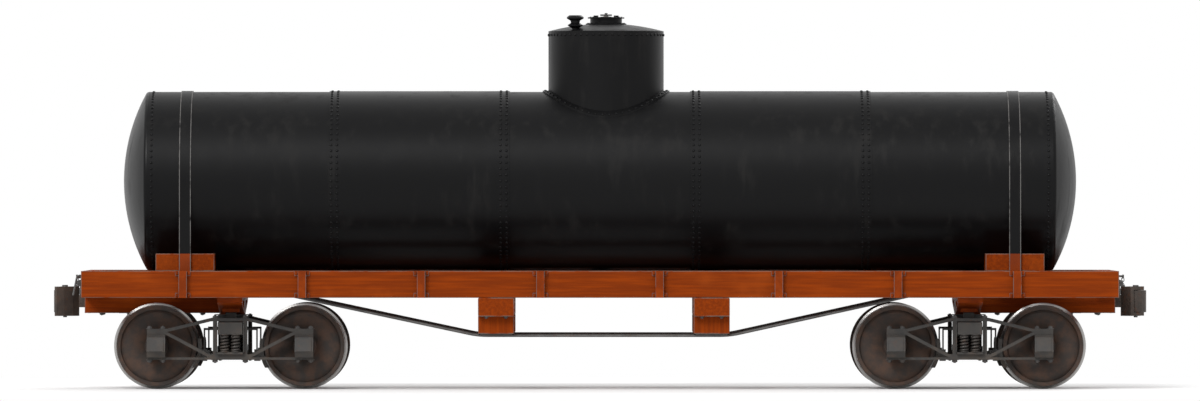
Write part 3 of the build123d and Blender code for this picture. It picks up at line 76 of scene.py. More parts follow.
camera_distance = VIEW_WIDTH * LENS_MM / SENSOR_MM
camera_data = bpy.data.cameras.new("long_lens")
camera_data.lens = LENS_MM
camera_data.sensor_width = SENSOR_MM
camera_data.clip_start = 1.0
camera_data.clip_end = 1000.0
camera = bpy.data.objects.new("long_lens", camera_data)
bpy.context.scene.collection.objects.link(camera)
camera.location = (0.0, -camera_distance, VIEW_CENTRE_Z)
camera.rotation_euler = (math.radians(90), 0.0, 0.0)
bpy.context.scene.camera = camera
print("view height in metres:", round(VIEW_WIDTH / IMAGE_ASPECT, 3))

# %% [markdown]
# ## Shader maths as plain expressions
#
# A material that varies over its surface is a sum of small sums: noise times a
# strength, minus a threshold, and so on. Each `Signal` holds one output socket, and
# its operators add the Math nodes, so a formula reads as a formula.

# %% Signals and finishes
class Signal:
    """A number that varies over a surface."""

    def __init__(self, finish, socket):
        self.finish = finish
        self.socket = socket

    def maths(self, operation, *values, clamp=False):
        settings = {"operation": operation, "use_clamp": clamp}
        return self.finish.add("ShaderNodeMath", settings, {i: v for i, v in enumerate(values)})

    def __add__(self, other):
        return self.maths("ADD", self, other)

    __radd__ = __add__

    def __mul__(self, other):
        return self.maths("MULTIPLY", self, other)

    __rmul__ = __mul__

    def __sub__(self, other):
        return self.maths("SUBTRACT", self, other)

    def __rsub__(self, other):
        return self.maths("SUBTRACT", other, self)

    def __pow__(self, other):
        return self.maths("POWER", self, other)

    def __abs__(self):
        return self.maths("ABSOLUTE", self)

    def larger(self, other):
        return self.maths("MAXIMUM", self, other)

    def step(self, low, high):
        """0 below low, 1 above high, and a smooth rise between them."""
        settings = {"interpolation_type": "SMOOTHSTEP"}
        return self.finish.add(
            "ShaderNodeMapRange", settings, {"Value": self, "From Min": low, "From Max": high}
        )


class Finish:
    """One material: a Principled BSDF and the nodes that feed it."""

    def __init__(self, name, **constants):
        self.material = bpy.data.materials.new(name)
        self.material.use_nodes = True
        self.tree = self.material.node_tree
        self.bsdf = self.tree.nodes["Principled BSDF"]
        for socket, value in constants.items():
            self.bsdf.inputs[socket.replace("_", " ")].default_value = value
        self.place = self.add("ShaderNodeTexCoord", {}, {}, "Object")

    def add(self, kind, settings, values, output=0):
        """Makes any node: its settings first, then values or links for its sockets."""
        node = self.tree.nodes.new(kind)
        for key, value in settings.items():
            if key == "stops":
                for element, (position, colour) in zip(self.stops(node, len(value)), value):
                    element.position = position
                    element.color = colour
            else:
                setattr(node, key, value)
        for key, value in values.items():
            if isinstance(value, Signal):
                self.tree.links.new(value.socket, node.inputs[key])
            else:
                node.inputs[key].default_value = value
        return Signal(self, node.outputs[output])

    @staticmethod
    def stops(node, count):
        elements = node.color_ramp.elements
        while len(elements) < count:
            elements.new(0.5)
        return elements

    def feed(self, socket, signal):
        self.tree.links.new(signal.socket, self.bsdf.inputs[socket])

    def stretched(self, scale, location=(0, 0, 0)):
        """The place on the piece, with each axis scaled."""
        values = {"Vector": self.place, "Scale": scale, "Location": location}
        return self.add("ShaderNodeMapping", {}, values)

    def noise(self, scale, detail=3.0, roughness=0.55, at=None):
        values = {"Vector": at or self.place, "Scale": scale, "Detail": detail, "Roughness": roughness}
        return self.add("ShaderNodeTexNoise", {}, values)

    def axis(self, letter, at=None):
        return self.add("ShaderNodeSeparateXYZ", {}, {"Vector": at or self.place}, letter)

    def blend(self, amount, first, second):
        """Mixes two colours, each a tuple or a signal."""
        values = {"Factor": amount, "A": first, "B": second}
        node = self.tree.nodes.new("ShaderNodeMix")
        node.data_type = "RGBA"
        for key, value in values.items():
            socket = next(s for s in node.inputs if s.name == key and s.enabled)
            if isinstance(value, Signal):
                self.tree.links.new(value.socket, socket)
            else:
                socket.default_value = value
        return Signal(self, next(s for s in node.outputs if s.enabled))

    def bump(self, height, strength, distance):
        values = {"Height": height, "Strength": strength, "Distance": distance}
        self.feed("Normal", self.add("ShaderNodeBump", {}, values))


def rgb(red, green, blue):
    return (red, green, blue, 1.0)


# %% [markdown]
# ## Colours
#
# The drawing uses flat black for the tank, mineral brown for the underframe and a
# middle grey for every edge and rod. These are the same colours in linear light, with
# a darker and a paler neighbour for each, so that no surface is one flat tone.

# %% Colours
BLACK = rgb(0.0020, 0.0020, 0.0023)
DUSTY_BLACK = rgb(0.0150, 0.0140, 0.0130)
WORN_EDGE = rgb(0.120, 0.115, 0.110)
BROWN = rgb(0.225, 0.033, 0.0006)
DARK_BROWN = rgb(0.150, 0.021, 0.0005)
PALE_BROWN = rgb(0.270, 0.048, 0.004)
WEATHERED_WOOD = rgb(0.150, 0.125, 0.105)
CHIP = rgb(0.035, 0.026, 0.022)
ROAD_DUST = rgb(0.105, 0.075, 0.052)

# %% [markdown]
# ## The tank's black paint
#
# The drawing fills the tank with flat black. Real black paint on riveted plate is
# never quite even: it is glossier where rain has washed it, and dust lies on its
# shoulders in long soft runs. Both are kept faint, so that the tank still reads as
# black, and most of the interest is in the roughness. Each ring of plate takes the
# paint a little differently. The edges of the bands are rubbed down to bare iron, which
# is what draws them against the tank, and their feet are brown like the cradles.

# %% Black paint
PLATE_LENGTH = (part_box("tank_shell")[1].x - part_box("tank_shell")[0].x) / 5
CRADLE_TOP_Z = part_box("tank_cradles")[1].z


def black_paint(name, band_edge=None):
    """Black paint. band_edge is for the bands: the middle of one, half its width, the worn width."""
    paint = Finish(name, Specular_IOR_Level=0.14)
    runs = paint.noise(5.0, 5.0, 0.6, at=paint.stretched((1.6, 1.6, 0.22)))
    cloud = paint.noise(1.3, 4.0, 0.55)
    fine = paint.noise(60.0, 3.0, 0.6)
    dust = (runs * 0.6 + cloud * 0.4).step(0.50, 0.74)
    colour = paint.blend(dust * 0.55, BLACK, DUSTY_BLACK)
    if band_edge:
        middle, half_width, worn_width = band_edge
        foot = 1 - paint.axis("Z").step(CRADLE_TOP_Z - 0.002, CRADLE_TOP_Z + 0.002)
        colour = paint.blend(foot, colour, paint.blend(cloud.step(0.3, 0.7), DARK_BROWN, BROWN))
        away = abs(abs(paint.axis("X")) - middle)
        edge = away.step(half_width - worn_width, half_width - worn_width * 0.6)
        rubbed = edge * paint.noise(9.0, 4.0, 0.6).step(0.25, 0.55)
        colour = paint.blend(rubbed * 0.9, colour, WORN_EDGE)
    paint.feed("Base Color", colour)
    plate = paint.axis("X") * (1 / PLATE_LENGTH) + 0.5
    plate = plate.maths("FLOOR", plate) * 2.4
    plate = plate.maths("SINE", plate)
    paint.feed("Roughness", dust * 0.20 + fine * 0.10 + plate * 0.035 + 0.33)
    ripples = paint.noise(2.2, 2.0, 0.5)
    paint.bump(ripples * 1.0 + fine * 0.04, 0.35, 0.010)
    return paint.material


# %% [markdown]
# ## Painted timber
#
# The sills, beams and cradles are big sawn timbers under mineral brown paint. The
# grain shows through as long shallow ridges that run with each timber, so the noise is
# stretched along one axis. Knocks rub the paint off the edges of a timber first, and
# the wood under it weathers grey. An edge is where two of the three axes are at their
# limit. The timbers come in mirrored pairs, so the distances are measured outward from
# the middle of the pair.

# %% Mineral brown on timber
GRAIN_STRETCH = 0.045
ARRIS_WIDTH = 0.009
NARROWEST_GAP = 0.15


def arris(paint, name):
    """1 along the edges of a node's timbers, and 0 on their faces."""
    low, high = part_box(name)
    near = []
    for axis, letter in enumerate("XYZ"):
        middle = (low[axis] + high[axis]) / 2
        outer = (high[axis] - low[axis]) / 2
        inner = min(abs(corner.co[axis] - middle) for corner in nodes[name].data.vertices)
        if letter == "Z" or inner < NARROWEST_GAP or outer - inner < 3 * ARRIS_WIDTH:
            inner = -outer
        from_middle = abs(abs(paint.axis(letter) - middle) - (outer + inner) / 2)
        reach = (outer - inner) / 2
        near.append(from_middle.step(reach - ARRIS_WIDTH, reach - ARRIS_WIDTH * 0.4))
    return (near[0] * near[1]).larger(near[1] * near[2]).larger(near[2] * near[0])


def painted_timber(name, grain_axis):
    paint = Finish(f"{name}_timber", Specular_IOR_Level=0.06)
    scale = [1.0, 1.0, 1.0]
    scale[grain_axis] = GRAIN_STRETCH
    along = paint.stretched(tuple(scale))
    grain = paint.noise(34.0, 6.0, 0.62, at=along)
    checks = paint.noise(11.0, 4.0, 0.7, at=along).step(0.60, 0.66)
    patches = paint.noise(2.1, 3.0, 0.5)
    colour = paint.blend(grain.step(0.35, 0.7), DARK_BROWN, BROWN)
    colour = paint.blend(patches.step(0.52, 0.75) * 0.45, colour, PALE_BROWN)
    colour = paint.blend(checks * 0.55, colour, DARK_BROWN)
    rubbed = arris(paint, name) * paint.noise(7.0, 5.0, 0.65).step(0.30, 0.55)
    colour = paint.blend(rubbed * 0.8, colour, WEATHERED_WOOD)
    paint.feed("Base Color", colour)
    paint.feed("Roughness", grain * 0.25 + rubbed * 0.15 + 0.50)
    paint.bump(grain * 0.7 - checks * 0.6 - rubbed * 0.4, 0.55, 0.004)
    return paint.material


# %% [markdown]
# ## Painted iron
#
# The stake pockets and the bolsters are castings under the same brown. Iron has no
# grain, so it gets a fine orange-peel bump and a few chips down to dark metal. The
# pockets stand out from the sill and are rubbed bright along their upright edges. They
# are evenly spaced, so one wrapped distance serves all sixteen.

# %% Mineral brown on iron
POCKET_PITCH = 1.225
POCKET_HALF = 0.042
FLANGE_HALF = 0.079
POCKET_EDGE = 0.006
LIP_FROM_MIDDLE = 0.0895
SILL_FACE_Y = 1.321
SILL_MIDDLE_Z = (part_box("side_sills")[0].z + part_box("side_sills")[1].z) / 2


def painted_iron():
    paint = Finish("brown_iron", Specular_IOR_Level=0.08)
    skin = paint.noise(120.0, 3.0, 0.6)
    patches = paint.noise(7.0, 4.0, 0.55)
    chips = paint.noise(42.0, 4.0, 0.6).step(0.66, 0.70)
    colour = paint.blend(patches.step(0.35, 0.7), DARK_BROWN, BROWN)
    colour = paint.blend(chips * 0.7, colour, CHIP)
    along = abs(paint.axis("X"))
    away = abs(along.maths("WRAP", along, POCKET_PITCH, 0.0) - POCKET_PITCH / 2)
    body = away.step(POCKET_HALF - POCKET_EDGE, POCKET_HALF - POCKET_EDGE * 0.5)
    flange = away.step(FLANGE_HALF - POCKET_EDGE, FLANGE_HALF - POCKET_EDGE * 0.5)
    lip = 1 - abs(abs(paint.axis("Z") - SILL_MIDDLE_Z) - LIP_FROM_MIDDLE).step(0.002, 0.004)
    off_body = away.step(POCKET_HALF + 0.001, POCKET_HALF + 0.003)
    edge = (body * (1 - off_body)).larger(flange).larger(lip * off_body)
    outside = abs(paint.axis("Y")).step(SILL_FACE_Y, SILL_FACE_Y + 0.001)
    rubbed = edge * outside * paint.noise(11.0, 4.0, 0.6).step(0.28, 0.55)
    paint.feed("Base Color", paint.blend(rubbed * 0.75, colour, WORN_EDGE))
    paint.feed("Roughness", skin * 0.2 + 0.42)
    paint.bump(skin * 0.5 - chips * 0.5, 0.4, 0.0012)
    return paint.material


# %% [markdown]
# ## Bare and blackened iron
#
# Rods, nuts and brackets are plain iron, grey in the drawing. A mottled mix of two
# greys with a little rust in its hollows keeps them from looking like plastic. The
# same recipe with other colours makes the trucks' black paint, the springs and the
# couplers' rough castings. The lower a piece is, the more road dust has settled on it.

# %% Iron finishes
RUST = rgb(0.090, 0.032, 0.012)
DUST_FLOOR = 0.20
DUST_CEILING = 0.85


def iron(name, base, other, rust_share, metallic, roughness, grit=90.0, bump=0.0012):
    metal = Finish(name, Metallic=metallic)
    skin = metal.noise(grit, 4.0, 0.6)
    patches = metal.noise(6.0, 5.0, 0.6)
    rust = metal.noise(15.0, 5.0, 0.65).step(0.56, 0.70) * rust_share
    colour = metal.blend(patches.step(0.35, 0.65), base, other)
    colour = metal.blend(rust, colour, RUST)
    low = 1 - metal.axis("Z").step(DUST_FLOOR, DUST_CEILING)
    dust = low * metal.noise(8.0, 5.0, 0.65).step(0.38, 0.68)
    metal.feed("Base Color", metal.blend(dust * 0.35, colour, ROAD_DUST))
    metal.feed("Roughness", rust * 0.25 + skin * 0.22 + dust * 0.15 + roughness)
    metal.bump(skin, 0.45, bump)
    return metal.material


# %% [markdown]
# ## Wheels
#
# A wheel's tread is polished by the rail, while its plate and the axle stay dull and
# rusty. The bright band depends on the distance from the axle, so every wheelset has
# its own copy of the material with the pattern centred on its axle.

# %% Wheel iron
TREAD_RADIUS = 0.419
AXLE_Z = 0.444
TREAD_INNER_Y = 0.684
TREAD_OUTER_Y = 0.800
WHEEL_DARK = rgb(0.020, 0.014, 0.011)
WHEEL_RUST = rgb(0.055, 0.026, 0.014)
TREAD_BRIGHT = rgb(0.36, 0.35, 0.34)


def wheel_iron(name, axle_x):
    metal = Finish(name)
    centred = metal.stretched((1, 1, 1), (-axle_x, 0, -AXLE_Z))
    x = metal.axis("X", centred)
    z = metal.axis("Z", centred)
    radius = (x * x + z * z) ** 0.5
    across = abs(metal.axis("Y", centred))
    outside = radius.step(TREAD_RADIUS - 0.012, TREAD_RADIUS - 0.006)
    patches = metal.noise(9.0, 5.0, 0.6)
    skin = metal.noise(110.0, 4.0, 0.6)
    colour = metal.blend(patches.step(0.35, 0.7), WHEEL_DARK, WHEEL_RUST)
    past_flange = across.step(TREAD_INNER_Y, TREAD_INNER_Y + 0.006)
    past_rim = across.step(TREAD_OUTER_Y, TREAD_OUTER_Y + 0.012)
    bright = outside * past_flange * (1 - past_rim)
    metal.feed("Base Color", metal.blend(bright, colour, TREAD_BRIGHT))
    metal.feed("Metallic", bright)
    metal.feed("Roughness", 0.72 - bright * 0.46 + skin * 0.1)
    metal.bump(skin, 0.4, 0.0014)
    return metal.material


# %% [markdown]
# ## Which finish goes on which piece
#
# The record names a slot for every CAD node. One table gives each slot its material,
# and the timbers choose theirs by the way they lie.

# %% Hand out the finishes
TANK_BLACK = black_paint("tank_black")
band_low, band_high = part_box("tank_bands")
BAND_WIDTH = 0.121
BAND_BLACK = black_paint("band_black", (band_high.x - BAND_WIDTH / 2, BAND_WIDTH / 2, 0.010))
BROWN_IRON = painted_iron()
DARK_IRON = iron("dark_iron", rgb(0.070, 0.068, 0.066), rgb(0.105, 0.102, 0.100), 0.35, 0.55, 0.42)
TRUCK_PAINT = iron("truck_black", rgb(0.011, 0.010, 0.009), rgb(0.024, 0.021, 0.018), 0.30, 0.0, 0.46)
SPRING_STEEL = iron("spring_steel", rgb(0.030, 0.027, 0.025), rgb(0.050, 0.045, 0.041), 0.3, 0.5, 0.36)
COUPLER_IRON = iron(
    "coupler_iron", rgb(0.034, 0.026, 0.021), rgb(0.058, 0.040, 0.030), 0.6, 0.3, 0.5, 60.0, 0.0025
)
GRAIN_AXES = {"end_sills": 1, "needle_beams": 1, "tank_cradles": 1, "queen_posts": 2}
SLOT_FINISHES = {
    "tank_paint": TANK_BLACK,
    "pocket_paint": BROWN_IRON,
    "dark_iron": DARK_IRON,
    "truck_paint": TRUCK_PAINT,
    "spring_steel": SPRING_STEEL,
    "cast_coupler": COUPLER_IRON,
}


def wear(piece, material):
    piece.data.materials.clear()
    piece.data.materials.append(material)


for entry in frame["record"]["subparts"]:
    name = entry["node"]
    slot = entry["material_slot"]
    piece = nodes[name]
    if slot == "frame_paint":
        wear(piece, painted_timber(name, GRAIN_AXES.get(name, 0)))
    elif name == "tank_bands":
        wear(piece, BAND_BLACK)
    elif slot == "wheel_iron":
        low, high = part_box(name)
        wear(piece, wheel_iron(f"{name}_iron", (low.x + high.x) / 2))
    else:
        wear(piece, SLOT_FINISHES[slot])
print("finished CAD nodes:", len(nodes))

# %% [markdown]
# ## The floor and the backdrop
#
# The object stands on a plain pale floor. Far from the object the floor is plain
# white to the camera, so no horizon shows, and near it the floor keeps its shadow.

# %% Stage
WHITE = rgb(1.0, 1.0, 1.0)
FLOOR_SIZE = 400.0
FLOOR_WHITE = rgb(0.86, 0.86, 0.86)
SHADOW_REACH = 9.0


def seen_directly(tree):
    """1 for rays that come from the camera, a mirror or glass, and 0 for light bouncing about."""
    path = tree.nodes.new("ShaderNodeLightPath")
    total = tree.nodes.new("ShaderNodeMath")
    total.operation = "MAXIMUM"
    tree.links.new(path.outputs["Is Camera Ray"], total.inputs[0])
    tree.links.new(path.outputs["Is Glossy Ray"], total.inputs[1])
    both = tree.nodes.new("ShaderNodeMath")
    both.operation = "MAXIMUM"
    tree.links.new(total.outputs[0], both.inputs[0])
    tree.links.new(path.outputs["Is Transmission Ray"], both.inputs[1])
    return both.outputs[0]


def pale_floor():
    floor = Finish("pale_floor", Base_Color=FLOOR_WHITE, Roughness=0.9)
    x = floor.axis("X")
    y = floor.axis("Y")
    distance = (x * x * 0.45 + y * y) ** 0.5
    far = distance.step(SHADOW_REACH * 0.4, SHADOW_REACH)
    glow = floor.tree.nodes.new("ShaderNodeEmission")
    glow.inputs["Color"].default_value = WHITE
    mix = floor.tree.nodes.new("ShaderNodeMixShader")
    direct = Signal(floor, seen_directly(floor.tree))
    floor.tree.links.new((far * direct).socket, mix.inputs[0])
    floor.tree.links.new(floor.bsdf.outputs[0], mix.inputs[1])
    floor.tree.links.new(glow.outputs[0], mix.inputs[2])
    floor.tree.links.new(mix.outputs[0], floor.tree.nodes["Material Output"].inputs["Surface"])
    return floor.material


floor_bm = bmesh.new()
bmesh.ops.create_grid(floor_bm, x_segments=1, y_segments=1, size=FLOOR_SIZE / 2)
floor_mesh = bpy.data.meshes.new("floor")
floor_bm.to_mesh(floor_mesh)
floor_bm.free()
floor_object = bpy.data.objects.new("floor", floor_mesh)
bpy.context.scene.collection.objects.link(floor_object)
wear(floor_object, pale_floor())

# %% [markdown]
# ## The light
#
# The sky is even and white, so that black paint shows soft highlights and no dark
# reflections. One broad sun from the upper left shapes the tank, and a weaker one from
# behind keeps the far side readable when the camera goes round.

# %% Light
SKY_STRENGTH = 0.85
SUN_STRENGTH = 2.1
SUN_SOFTNESS = math.radians(25)

world = bpy.data.worlds.new("sky")
bpy.context.scene.world = world
world.use_nodes = True
sky_tree = world.node_tree
sky = sky_tree.nodes["Background"]
sky.inputs["Color"].default_value = WHITE
sky.inputs["Strength"].default_value = SKY_STRENGTH
white_sky = sky_tree.nodes.new("ShaderNodeBackground")
white_sky.inputs["Color"].default_value = WHITE
sky_mix = sky_tree.nodes.new("ShaderNodeMixShader")
sky_tree.links.new(seen_directly(sky_tree), sky_mix.inputs[0])
sky_tree.links.new(sky.outputs[0], sky_mix.inputs[1])
sky_tree.links.new(white_sky.outputs[0], sky_mix.inputs[2])
sky_tree.links.new(sky_mix.outputs[0], sky_tree.nodes["World Output"].inputs["Surface"])

for sun_name, strength, tilt, turn in (
    ("sun", SUN_STRENGTH, 52, -28),
    ("fill_sun", SUN_STRENGTH * 0.35, 60, 150),
):
    sun_data = bpy.data.lights.new(sun_name, "SUN")
    sun_data.energy = strength
    sun_data.angle = SUN_SOFTNESS
    sun = bpy.data.objects.new(sun_name, sun_data)
    bpy.context.scene.collection.objects.link(sun)
    sun.rotation_euler = (math.radians(tilt), 0.0, math.radians(turn))

bpy.context.scene.view_settings.view_transform = "Standard"

# %% [markdown]
# ## Rivets, nuts and coils
#
# Small things repeat, so each has one maker. A rivet head is half of a flattened
# sphere. A nut is a six-sided prism on a washer, with the end of its bolt standing
# out. Spinning one of them about an axis with copies gives a whole ring. A spring coil
# is a circle of wire that is spun and lifted at the same time.

# %% Makers of small things
RIVET_RADIUS = 0.015
RIVET_HEIGHT = 0.009
WIRE_SEGMENTS = 8
COIL_STEPS_PER_TURN = 18


def facing(place, outward):
    """A matrix that stands a shape on a place, with its Z pointing outward."""
    turn = Vector((0, 0, 1)).rotation_difference(Vector(outward))
    return Matrix.Translation(place) @ turn.to_matrix().to_4x4()


def snap_head(bm, place, outward, radius=RIVET_RADIUS, height=RIVET_HEIGHT):
    """One rivet head: a low dome, sunk a little into its plate. Returns its vertices."""
    shape = facing(place, outward) @ Matrix.Diagonal((radius, radius, height, 1.0))
    made = bmesh.ops.create_uvsphere(bm, u_segments=8, v_segments=6, radius=1.0, matrix=shape)
    under = [v for v in made["verts"] if (v.co - Vector(place)).dot(Vector(outward)) < -height * 0.6]
    bmesh.ops.delete(bm, geom=under, context="VERTS")
    head = [v for v in made["verts"] if v.is_valid]
    bmesh.ops.holes_fill(bm, edges=[e for e in {e for v in head for e in v.link_edges} if e.is_boundary])
    return head


def disc(bm, place, outward, radius, thickness, segments=16):
    """A short cylinder that stands on a place. Returns its vertices."""
    middle = Vector(place) + Vector(outward).normalized() * thickness / 2
    made = bmesh.ops.create_cone(
        bm,
        cap_ends=True,
        segments=segments,
        radius1=radius,
        radius2=radius,
        depth=thickness,
        matrix=facing(middle, outward),
    )
    return made["verts"]


def nut(bm, place, outward, across=0.034, washer=1.0):
    """A nut on a washer, with the bolt's end standing out. Returns its vertices."""
    outward = Vector(outward).normalized()
    sink = outward * 0.001
    verts = []
    base = Vector(place)
    if washer:
        verts += disc(bm, base - sink, outward, across * 0.85 * washer, 0.005, 16)
        base = base + outward * 0.004
    verts += disc(bm, base - sink, outward, across / 2 / math.cos(math.pi / 6), across * 0.45, 6)
    verts += disc(bm, base - sink, outward, across * 0.28, across * 0.62, 10)
    return verts


def with_links(verts):
    """These vertices with their edges and faces, as the copying operators want them."""
    edges = {e for v in verts for e in v.link_edges}
    faces = {f for v in verts for f in v.link_faces}
    return list(verts) + list(edges) + list(faces)


def ring(bm, verts, axis, centre, count):
    """Copies the given vertices round an axis until there are count of them."""
    bmesh.ops.spin(
        bm,
        geom=with_links(verts),
        axis=axis,
        cent=centre,
        steps=count - 1,
        angle=math.tau * (count - 1) / count,
        use_duplicate=True,
    )


def row(bm, verts, step, count):
    """Copies the given vertices along a straight line until there are count of them."""
    bmesh.ops.spin(
        bm,
        geom=with_links(verts),
        axis=(0, 0, 1),
        dvec=step,
        steps=count - 1,
        angle=0,
        use_duplicate=True,
    )


def again(bm, verts, shift):
    """One more copy of the given vertices, moved by shift."""
    made = bmesh.ops.duplicate(bm, geom=with_links(verts))
    copies = [v for v in made["geom"] if isinstance(v, bmesh.types.BMVert)]
    bmesh.ops.translate(bm, verts=copies, vec=shift)


def coil(bm, centre, height, mean_radius, wire_radius, turns):
    """A helical spring that stands on a place: flat end turns, and a rising middle."""
    start = Vector(centre) + Vector((mean_radius, 0, wire_radius))
    place = facing(start, (0, 1, 0))
    wire = bmesh.ops.create_circle(bm, segments=WIRE_SEGMENTS, radius=wire_radius, matrix=place)
    verts = wire["verts"]
    geom = verts + list({e for v in verts for e in v.link_edges})
    rise = height - 2 * wire_radius
    for part_turns, part_rise in ((0.7, 0.0), (turns, rise), (0.7, 0.0)):
        steps = round(part_turns * COIL_STEPS_PER_TURN)
        made = bmesh.ops.spin(
            bm,
            geom=geom,
            axis=(0, 0, 1),
            cent=centre,
            dvec=(0, 0, part_rise / steps),
            steps=steps,
            angle=math.tau * part_turns,
        )
        geom = made["geom_last"]


def finished(name, bm, body, material, smooth=True):
    """Turns a bmesh into a piece that rides on a CAD body."""
    bmesh.ops.recalc_face_normals(bm, faces=bm.faces)
    mesh = bpy.data.meshes.new(name)
    bm.to_mesh(mesh)
    bm.free()
    if smooth:
        mesh.shade_smooth()
    piece = bpy.data.objects.new(name, mesh)
    bpy.context.scene.collection.objects.link(piece)
    wear(piece, material)
    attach(piece, body)
    print(name, "has", len(mesh.polygons), "faces")
    return piece


# %% [markdown]
# ## Seams of the tank
#
# The barrel is made of five rings of plate, and every second ring laps outside its
# neighbours. Each lap has a double row of rivets, set on the outer ring. The heads are
# flanged and riveted round once. Each ring closes with a double row along the tank,
# which is kept to the back, near the top, where rain runs off it.

# %% Tank rivets
head_low, head_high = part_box("tank_head_b")
shell_low, shell_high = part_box("tank_shell")
TANK_RADIUS = (head_high.z - head_low.z) / 2
TANK_Z = (head_high.z + head_low.z) / 2
LAP_RADIUS = (shell_high.z - shell_low.z) / 2
SHELL_HALF = shell_high.x
COURSES = 5
RING_RIVETS = 92
LAP_EDGE = 0.030
ROW_GAP = 0.062
HEAD_EDGE = 0.045
SEAM_PITCH = 0.066
SEAM_END = 0.15
SEAM_TURNS = (28, 34, 28, 34, 28)

course_length = 2 * SHELL_HALF / COURSES
course_starts = [-SHELL_HALF + i * course_length for i in range(COURSES)]
lap_xs = []
for course in (1, 3):
    left, right = course_starts[course], course_starts[course] + course_length
    lap_xs += [left + LAP_EDGE, left + LAP_EDGE + ROW_GAP, right - LAP_EDGE - ROW_GAP, right - LAP_EDGE]
head_xs = [-SHELL_HALF + HEAD_EDGE, SHELL_HALF - HEAD_EDGE]

RINGS = (("lap_rivets", LAP_RADIUS, lap_xs), ("head_rivets", TANK_RADIUS, head_xs))
for name, radius, ring_xs in RINGS:
    rivets = bmesh.new()
    first = snap_head(rivets, (ring_xs[0], 0, TANK_Z + radius), (0, 0, 1))
    ring(rivets, first, (1, 0, 0), (0, 0, TANK_Z), RING_RIVETS)
    whole_ring = list(rivets.verts)
    for x in ring_xs[1:]:
        again(rivets, whole_ring, (x - ring_xs[0], 0, 0))
    finished(name, rivets, "car", TANK_BLACK)

seam_rivets = bmesh.new()
seam_count = int((course_length - 2 * SEAM_END) / SEAM_PITCH) + 1
for course, turn in enumerate(SEAM_TURNS):
    radius = LAP_RADIUS if course % 2 else TANK_RADIUS
    for side in (-0.5, 0.5):
        lean = math.radians(turn) + side * ROW_GAP / radius
        outward = Vector((0, math.sin(lean), math.cos(lean)))
        place = Vector((course_starts[course] + SEAM_END, 0, TANK_Z)) + outward * radius
        row(seam_rivets, snap_head(seam_rivets, place, outward), (SEAM_PITCH, 0, 0), seam_count)
finished("seam_rivets", seam_rivets, "car", TANK_BLACK)

# %% [markdown]
# ## Rivets of the dome
#
# The dome's wall is riveted to the crown round its top edge, and closed by a double
# row at the back. Its foot is a flange bent to the tank's curve, so each of those
# rivets points away from the tank's axis.

# %% Dome rivets
wall_low, wall_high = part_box("dome_wall")
crown_low, crown_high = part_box("dome_crown")
DOME_X = (crown_low.x + crown_high.x) / 2
DOME_RADIUS = (crown_high.x - crown_low.x) / 2
DOME_WALL_TOP = wall_high.z
FLANGE_WIDTH = (wall_high.x - wall_low.x) / 2 - DOME_RADIUS
FLANGE_THICKNESS = 0.014
DOME_RIVETS = 56
DOME_ROW_DROP = 0.040
BACK_SEAM_LOW = TANK_Z + TANK_RADIUS * 0.88
BACK_SEAM_PITCH = 0.052
BACK_SEAM_COUNT = int((DOME_WALL_TOP - 0.09 - BACK_SEAM_LOW) / BACK_SEAM_PITCH) + 1

dome_rivets = bmesh.new()
axis_point = (DOME_X, 0, 0)
place = (DOME_X, -DOME_RADIUS, DOME_WALL_TOP - DOME_ROW_DROP)
ring(dome_rivets, snap_head(dome_rivets, place, (0, -1, 0)), (0, 0, 1), axis_point, DOME_RIVETS)
for i in range(DOME_RIVETS):
    angle = math.tau * (i + 0.5) / DOME_RIVETS
    x = DOME_X + (DOME_RADIUS + FLANGE_WIDTH * 0.55) * math.cos(angle)
    y = (DOME_RADIUS + FLANGE_WIDTH * 0.55) * math.sin(angle)
    lean = math.asin(y / TANK_RADIUS)
    outward = Vector((0, math.sin(lean), math.cos(lean)))
    place = Vector((x, 0, TANK_Z)) + outward * (TANK_RADIUS + FLANGE_THICKNESS)
    snap_head(dome_rivets, place, outward)
for side in (-0.5, 0.5):
    lean = side * ROW_GAP / DOME_RADIUS
    outward = Vector((math.sin(lean), math.cos(lean), 0))
    place = Vector((DOME_X, 0, BACK_SEAM_LOW)) + outward * DOME_RADIUS
    row(dome_rivets, snap_head(dome_rivets, place, outward), (0, 0, BACK_SEAM_PITCH), BACK_SEAM_COUNT)
finished("dome_rivets", dome_rivets, "car", TANK_BLACK)

# %% [markdown]
# ## The manway's foot and lid
#
# The manway's neck stands in a flat ring that is riveted to the crown. The ring is a
# four-sided profile, spun about the dome's axis. The crown is part of a sphere, so a
# short function gives its height at any distance from the axis. The lid has rivets of
# its own, which hold its sealing ring and swing open with it.

# %% Manway ring and lid rivets
CROWN_RISE = 0.080
NECK_RADIUS = 0.165
RING_WIDTH = 0.046
RING_THICKNESS = 0.010
RING_SUNK = 0.004
RING_RIVET_COUNT = 24
SMALL_RIVET = (0.010, 0.006)
LID_RIVET_CIRCLE = 0.162
LID_RIVET_COUNT = 16
CROWN_SPHERE = (DOME_RADIUS**2 + CROWN_RISE**2) / (2 * CROWN_RISE)


def crown_z(distance):
    """The height of the dome's crown at a distance from its axis."""
    return DOME_WALL_TOP + CROWN_RISE - CROWN_SPHERE + math.sqrt(CROWN_SPHERE**2 - distance**2)


def rivet_circle(bm, radius, height, count):
    """A circle of small upright rivets round the dome's axis, half a step off the X axis."""
    turn = math.pi / count
    place = (DOME_X + radius * math.cos(turn), radius * math.sin(turn), height)
    ring(bm, snap_head(bm, place, (0, 0, 1), *SMALL_RIVET), (0, 0, 1), (DOME_X, 0, 0), count)


